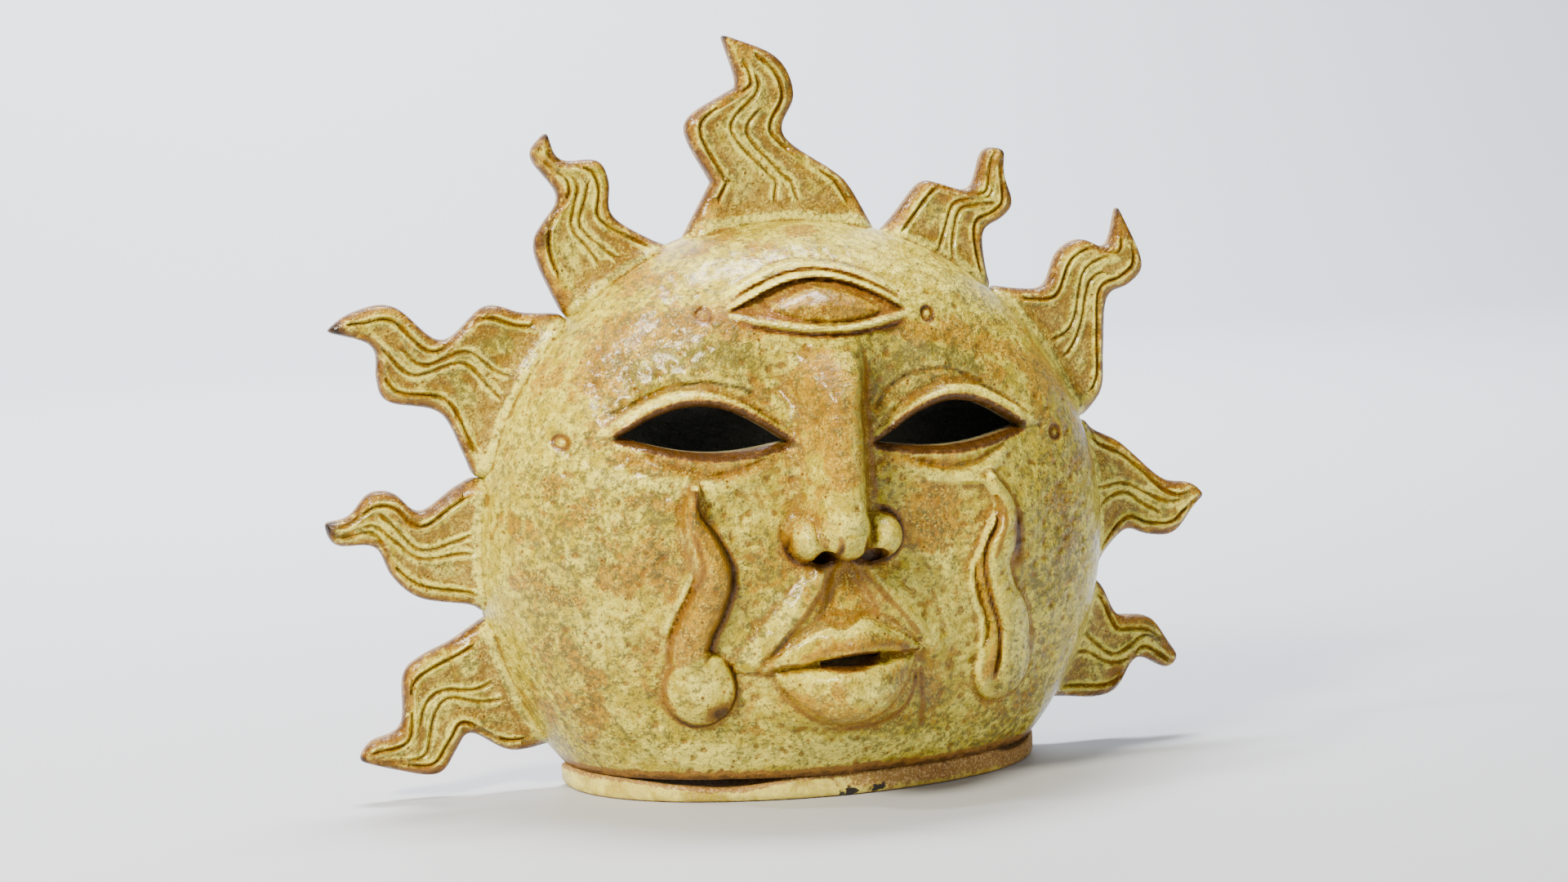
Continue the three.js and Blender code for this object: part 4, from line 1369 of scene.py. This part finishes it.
def face_material():
    """The face's glaze with its painted shade and highlights, laid from the lowest layer up, and the bare
    clay inside and behind.
    """
    made = Nodes("sun_glaze")
    step, times, swayed, given, lay = made.step, made.times, made.swayed, made.attribute, made.lay
    broad = made.noise(24, 3, 0.6, 0.4)
    patch = made.noise(78, 4, 0.62, 0.5, 0.4)
    middle = made.noise(190, 4, 0.66, 0.3, 0.9)
    fine = made.noise(420, 3, 0.7, 0.2, 1.1)
    grain = made.noise(1150, 2, 0.6, 0.0, 2.3)
    stain = made.noise(150, 4, 0.7, 0.6, 3.1)
    hair = made.streaks("flow", 1.7, 16)
    mottle = made.math("ADD", times(patch, 0.5), times(middle, 0.5))
    second = made.math("ADD", times(broad, 0.3), times(fine, 0.7))
    pool = made.math("ADD", times(patch, 0.55), times(broad, 0.45))

    # The broad colours of the glaze, with painted highlights and painted shade among them, and what its
    # relief does to them.
    made.color = made.blend(step(mottle, 0.43, 0.55), STRAW, CREAM)
    # The pale layer includes painted highlights on the nose's tip, its left wing and the lower lip.
    lay(PALE_GLAZE_AND_HIGHLIGHT, swayed(swayed(given("pale"), mottle, 3.0), pool, -3.5), (0.30, 0.8), 0.85)
    amber = swayed(swayed(given("amber"), pool, 6.5), stain, 2.0)
    amber = made.math("MULTIPLY_ADD", given("pale"), -1.1, amber)
    lay(AMBER_GLAZE, amber, (0.12, 0.55), 0.95)
    lay(DEEP_AMBER, amber, (0.65, 1.35), 0.75)
    # The olive layer is partly painted shade: right of the nose, above the eyes, under the lower lip and by
    # the chin.
    lay(OLIVE_GLAZE_AND_SHADE, swayed(given("olive"), second, 7.0, 0.475), (0.18, 1.0), 0.72)
    lay(OLIVE_GLAZE_AND_SHADE, times(step(made.veins(300, 0.004), 0.16, 0.03), step(patch, 0.43, 0.58)), None, 0.4)
    proud = given("proud")
    lay(DEEP_AMBER, proud, (0.45, 0.18), 0.75)
    crest = times(step(proud, 0.64, 0.95), step(fine, 0.35, 0.6))
    lay(PALE_GLAZE_AND_HIGHLIGHT, times(crest, made.math("SUBTRACT", 1.0, given("amber"))), None, 0.6)
    lay(PALE_GLAZE_AND_HIGHLIGHT, swayed(given("burr"), middle, 1.8), (0.30, 0.9), 0.8)

    # Streaks along the flames, grit, frost and specks.
    streak = times(step(hair, 0.57, 0.62), given("flame"))
    ridge = times(step(hair, 0.46, 0.40), given("flame"))
    lay(OLIVE_GLAZE_AND_SHADE, streak, None, 0.7)
    lay(PALE_GLAZE_AND_HIGHLIGHT, ridge, None, 0.7)
    lay(OLIVE_GLAZE_AND_SHADE, times(step(grain, 0.52, 0.62), step(fine, 0.40, 0.56)), None, 0.6)
    lay(PALE_GLAZE_AND_HIGHLIGHT, times(step(grain, 0.47, 0.38), step(middle, 0.44, 0.56)), None, 0.4)
    cell = made.cells(330, made.place)
    chance = step(middle, 0.50, 0.60)
    speck = times(step(cell, 0.22, 0.10), chance)
    lay(AMBER_GLAZE, times(step(cell, 0.45, 0.20), chance), None, 0.6)
    lay(BROWN, speck, None, 0.85)

    # Worn edges, rims, dark glaze with painted shade and shadow, the joint, incised lines and the flames'
    # tips.
    worn = times(given("edge"), step(fine, 0.30, 0.54))
    lay(DEEP_AMBER, worn, (0.12, 0.55), 0.85)
    lay(BROWN, worn, (0.45, 0.95), 0.75)
    # The rim layer is bare clay round the eye openings and the mouth, and painted shade in the third eye's
    # recess.
    rim = swayed(given("rim"), fine, 1.1)
    lay(CLAY_AND_SHADE, rim, (0.35, 0.62), 0.9)
    lay(BROWN, rim, (0.62, 0.95), 0.9)
    # The dark layer is partly dark glaze and partly painted shade and shadow by the nose, tears, lips, chin
    # and dimples.
    dark = swayed(given("dark"), middle, 0.9)
    lay(DEEP_AMBER, dark, (0.22, 0.50), 0.85)
    lay(BROWN, dark, (0.50, 0.90), 0.95)
    joint = swayed(given("joint"), middle, 1.0)
    lay(CLAY_AND_SHADE, joint, (0.35, 0.6), 0.9)
    lay(BROWN, joint, (0.75, 1.05), 0.8)
    line = times(given("groove"), step(middle, 0.42, 0.60))
    lay(OLIVE_GLAZE_AND_SHADE, line, (0.10, 0.55), 0.65)
    lay(BROWN, line, (0.55, 1.0), 0.75)
    tip = swayed(given("tip"), middle, 1.5)
    lay(BROWN, tip, (0.30, 0.75), 0.9)
    lay(DARK, tip, (0.80, 1.1), 0.85)

    # Bare clay behind and inside.
    clay = made.blend(step(pool, 0.42, 0.60), BACK_CLAY, BACK_STAIN)
    clay = made.blend(times(step(grain, 0.54, 0.64), 0.5), clay, BROWN)
    clay = made.blend(times(step(broad, 0.52, 0.66), 0.25), clay, STRAW)
    lay(INNER_CLAY, given("inside"))
    lay(clay, given("back"))

    bare = made.math("ADD", made.math("ADD", given("inside"), given("joint")), given("back"))
    normal = made.bumped([
        (mottle, 0.8, 0.0030),
        (fine, 0.8, 0.0012),
        (grain, 0.45, 0.0004),
        (made.math("SUBTRACT", ridge, streak), 0.6, 0.0005),
        (times(speck, -1), 0.6, 0.0004),
    ])
    return made.finish(
        Base_Color=made.color,
        Roughness=made.math("MULTIPLY_ADD", bare, 0.5, made.math("MULTIPLY_ADD", middle, 0.45, 0.08)),
        Specular_IOR_Level=0.14,
        Coat_Weight=0.28,
        Coat_Roughness=0.11,
        Coat_Normal=made.bumped([(mottle, 0.5, 0.0012)]),
        Normal=normal,
    )


def base_material():
    """The base's glaze, with bare pink clay along its worn top edge and two dark chips."""
    made = Nodes("base_glaze")
    patch = made.noise(80, 4, 0.62, 0.5, 0.4)
    fine = made.noise(420, 3, 0.7, 0.2, 1.1)
    grain = made.noise(1150, 2, 0.6, 0.0, 2.3)
    made.color = made.blend(made.step(patch, 0.38, 0.6), STRAW, PALE_GLAZE_AND_HIGHLIGHT)
    made.lay(AMBER_GLAZE, made.swayed(made.times(made.attribute("side"), 0.6), patch, 2.0), (0.25, 0.7), 0.85)
    bare = made.swayed(made.attribute("bare"), fine, 1.8)
    made.lay(CLAY_AND_SHADE, bare, (0.35, 0.6), 0.9)
    made.lay(BROWN, bare, (0.9, 1.3), 0.45)
    made.lay(PINK_CLAY, grain, (0.50, 0.62), 0.6)
    made.lay(DARK, made.swayed(made.attribute("chip"), fine, 1.4), (0.55, 0.75))
    return made.finish(
        Base_Color=made.color,
        Roughness=made.math("MULTIPLY_ADD", made.attribute("bare"), 0.4, 0.3),
        Normal=made.bumped([(patch, 0.5, 0.0014), (fine, 0.7, 0.0006)]),
    )


def plain_material(name, color, roughness):
    """One colour with a very faint cloud in it."""
    made = Nodes(name)
    cloud = tuple(part * 0.985 for part in color[:3]) + (1,)
    return made.finish(Base_Color=made.blend(made.noise(1.5, 2), color, cloud), Roughness=roughness)


# Edges sharper than these angles, in degrees, stay crisp.
MASK_CREASE = 42
BASE_CREASE = 50

mask, ray_line_list = mask_piece()
paint_mask(mask, ray_line_list)
smooth_shade(mask, MASK_CREASE)
mask.data.materials.clear()
mask.data.materials.append(face_material())
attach(mask, "root")
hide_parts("mask")

base = base_piece()
paint_base(base)
smooth_shade(base, BASE_CREASE)
base.data.materials.append(base_material())
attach(base, "root")
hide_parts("base")

# The photograph's camera, round the part's middle: a pixel of the photo is 0.30 mm on the part, the camera
# stands 3580 of them away, and half of the picture's width is 960.
AZIMUTH = math.radians(-14)
ELEVATION = math.radians(6)
ROLL = math.radians(2)
PIXEL = 0.30
DISTANCE = 3580 * PIXEL
TARGET = Vector((-1.2, BACK, 120.4)) * MM
HALF_PICTURE = 960 * PIXEL
SENSOR = 36


def make_camera():
    away = Vector((math.sin(AZIMUTH) * math.cos(ELEVATION), -math.cos(AZIMUTH) * math.cos(ELEVATION),
                   math.sin(ELEVATION)))
    lens = bpy.data.cameras.new("camera")
    lens.sensor_width = SENSOR
    lens.lens = SENSOR / 2 * DISTANCE / HALF_PICTURE
    lens.clip_start = 0.01
    lens.clip_end = 50
    lens.dof.use_dof = False
    camera = bpy.data.objects.new("camera", lens)
    turn = (-away).to_track_quat("-Z", "Y").to_matrix().to_4x4() @ Matrix.Rotation(-ROLL, 4, "Z")
    camera.matrix_world = Matrix.Translation(TARGET + away * DISTANCE * MM) @ turn
    bpy.context.scene.collection.objects.link(camera)
    bpy.context.scene.camera = camera


BEND_STEPS = 24


def make_floor():
    """A pale floor that curves up into a backdrop far behind, in metres."""
    far, near, side, bend, top = 2.2, -14.0, 14.0, 0.9, 3.5
    line = [(near, 0.0)]
    for step in range(BEND_STEPS + 1):
        turn = step / BEND_STEPS * math.pi / 2
        line.append((far + bend * math.sin(turn), bend * (1 - math.cos(turn))))
    line.append((far + bend, top))
    points, faces = [], []
    for y, z in line:
        points += [(-side, y, z), (side, y, z)]
    for step in range(len(line) - 1):
        faces.append((2 * step, 2 * step + 1, 2 * step + 3, 2 * step + 2))
    mesh = bpy.data.meshes.new("floor")
    mesh.from_pydata(points, [], faces)
    floor = bpy.data.objects.new("floor", mesh)
    bpy.context.scene.collection.objects.link(floor)
    mesh.shade_smooth()
    mesh.materials.append(plain_material("pale_floor", FLOOR_COLOR, FLOOR_ROUGHNESS))
    floor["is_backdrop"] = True


# Lights: name, place in metres, width, power, colour and what they point at.
TABLE = (0, 0, 0.12)
BACKDROP = (0, 3.0, 1.0)
LIGHTS = [
    ("key", (-1.15, -0.85, 1.25), 0.44, 70, (1.0, 0.90, 0.68), TABLE),
    ("glint", (-1.17, -0.05, 1.61), 0.16, 20, (1.0, 0.96, 0.9), TABLE),
    ("fill", (1.1, -1.7, 0.6), 1.4, 10.5, (1.0, 0.95, 0.84), TABLE),
    ("over", (0.2, 0.4, 1.9), 1.2, 9, (1.0, 1.0, 1.0), TABLE),
    ("wall", (0, 0.9, 2.6), 1.6, 440, (1.0, 1.0, 1.0), BACKDROP),
]
FLOOR_COLOR = (0.455, 0.475, 0.525, 1)
FLOOR_ROUGHNESS = 0.6
SKY_COLOR = (0.92, 0.94, 0.97, 1)
SKY_STRENGTH = 0.34


def make_light(name, place, size, power, color, aim):
    """A round soft light pointed at a place."""
    data = bpy.data.lights.new(name, "AREA")
    data.shape = "DISK"
    data.size = size
    data.energy = power
    data.color = color
    lamp = bpy.data.objects.new(name, data)
    lamp.location = place
    lamp.rotation_mode = "QUATERNION"
    lamp.rotation_quaternion = (Vector(aim) - Vector(place)).to_track_quat("-Z", "Y")
    bpy.context.scene.collection.objects.link(lamp)


make_camera()
make_floor()
for light in LIGHTS:
    make_light(*light)
world = bpy.data.worlds.new("studio")
world.use_nodes = True
world.node_tree.nodes["Background"].inputs[0].default_value = SKY_COLOR
world.node_tree.nodes["Background"].inputs[1].default_value = SKY_STRENGTH
bpy.context.scene.world = world

new_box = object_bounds()
boxes = {"cad": cad_box, "visual": new_box}
{name: [list(corner) for corner in box] for name, box in boxes.items()}
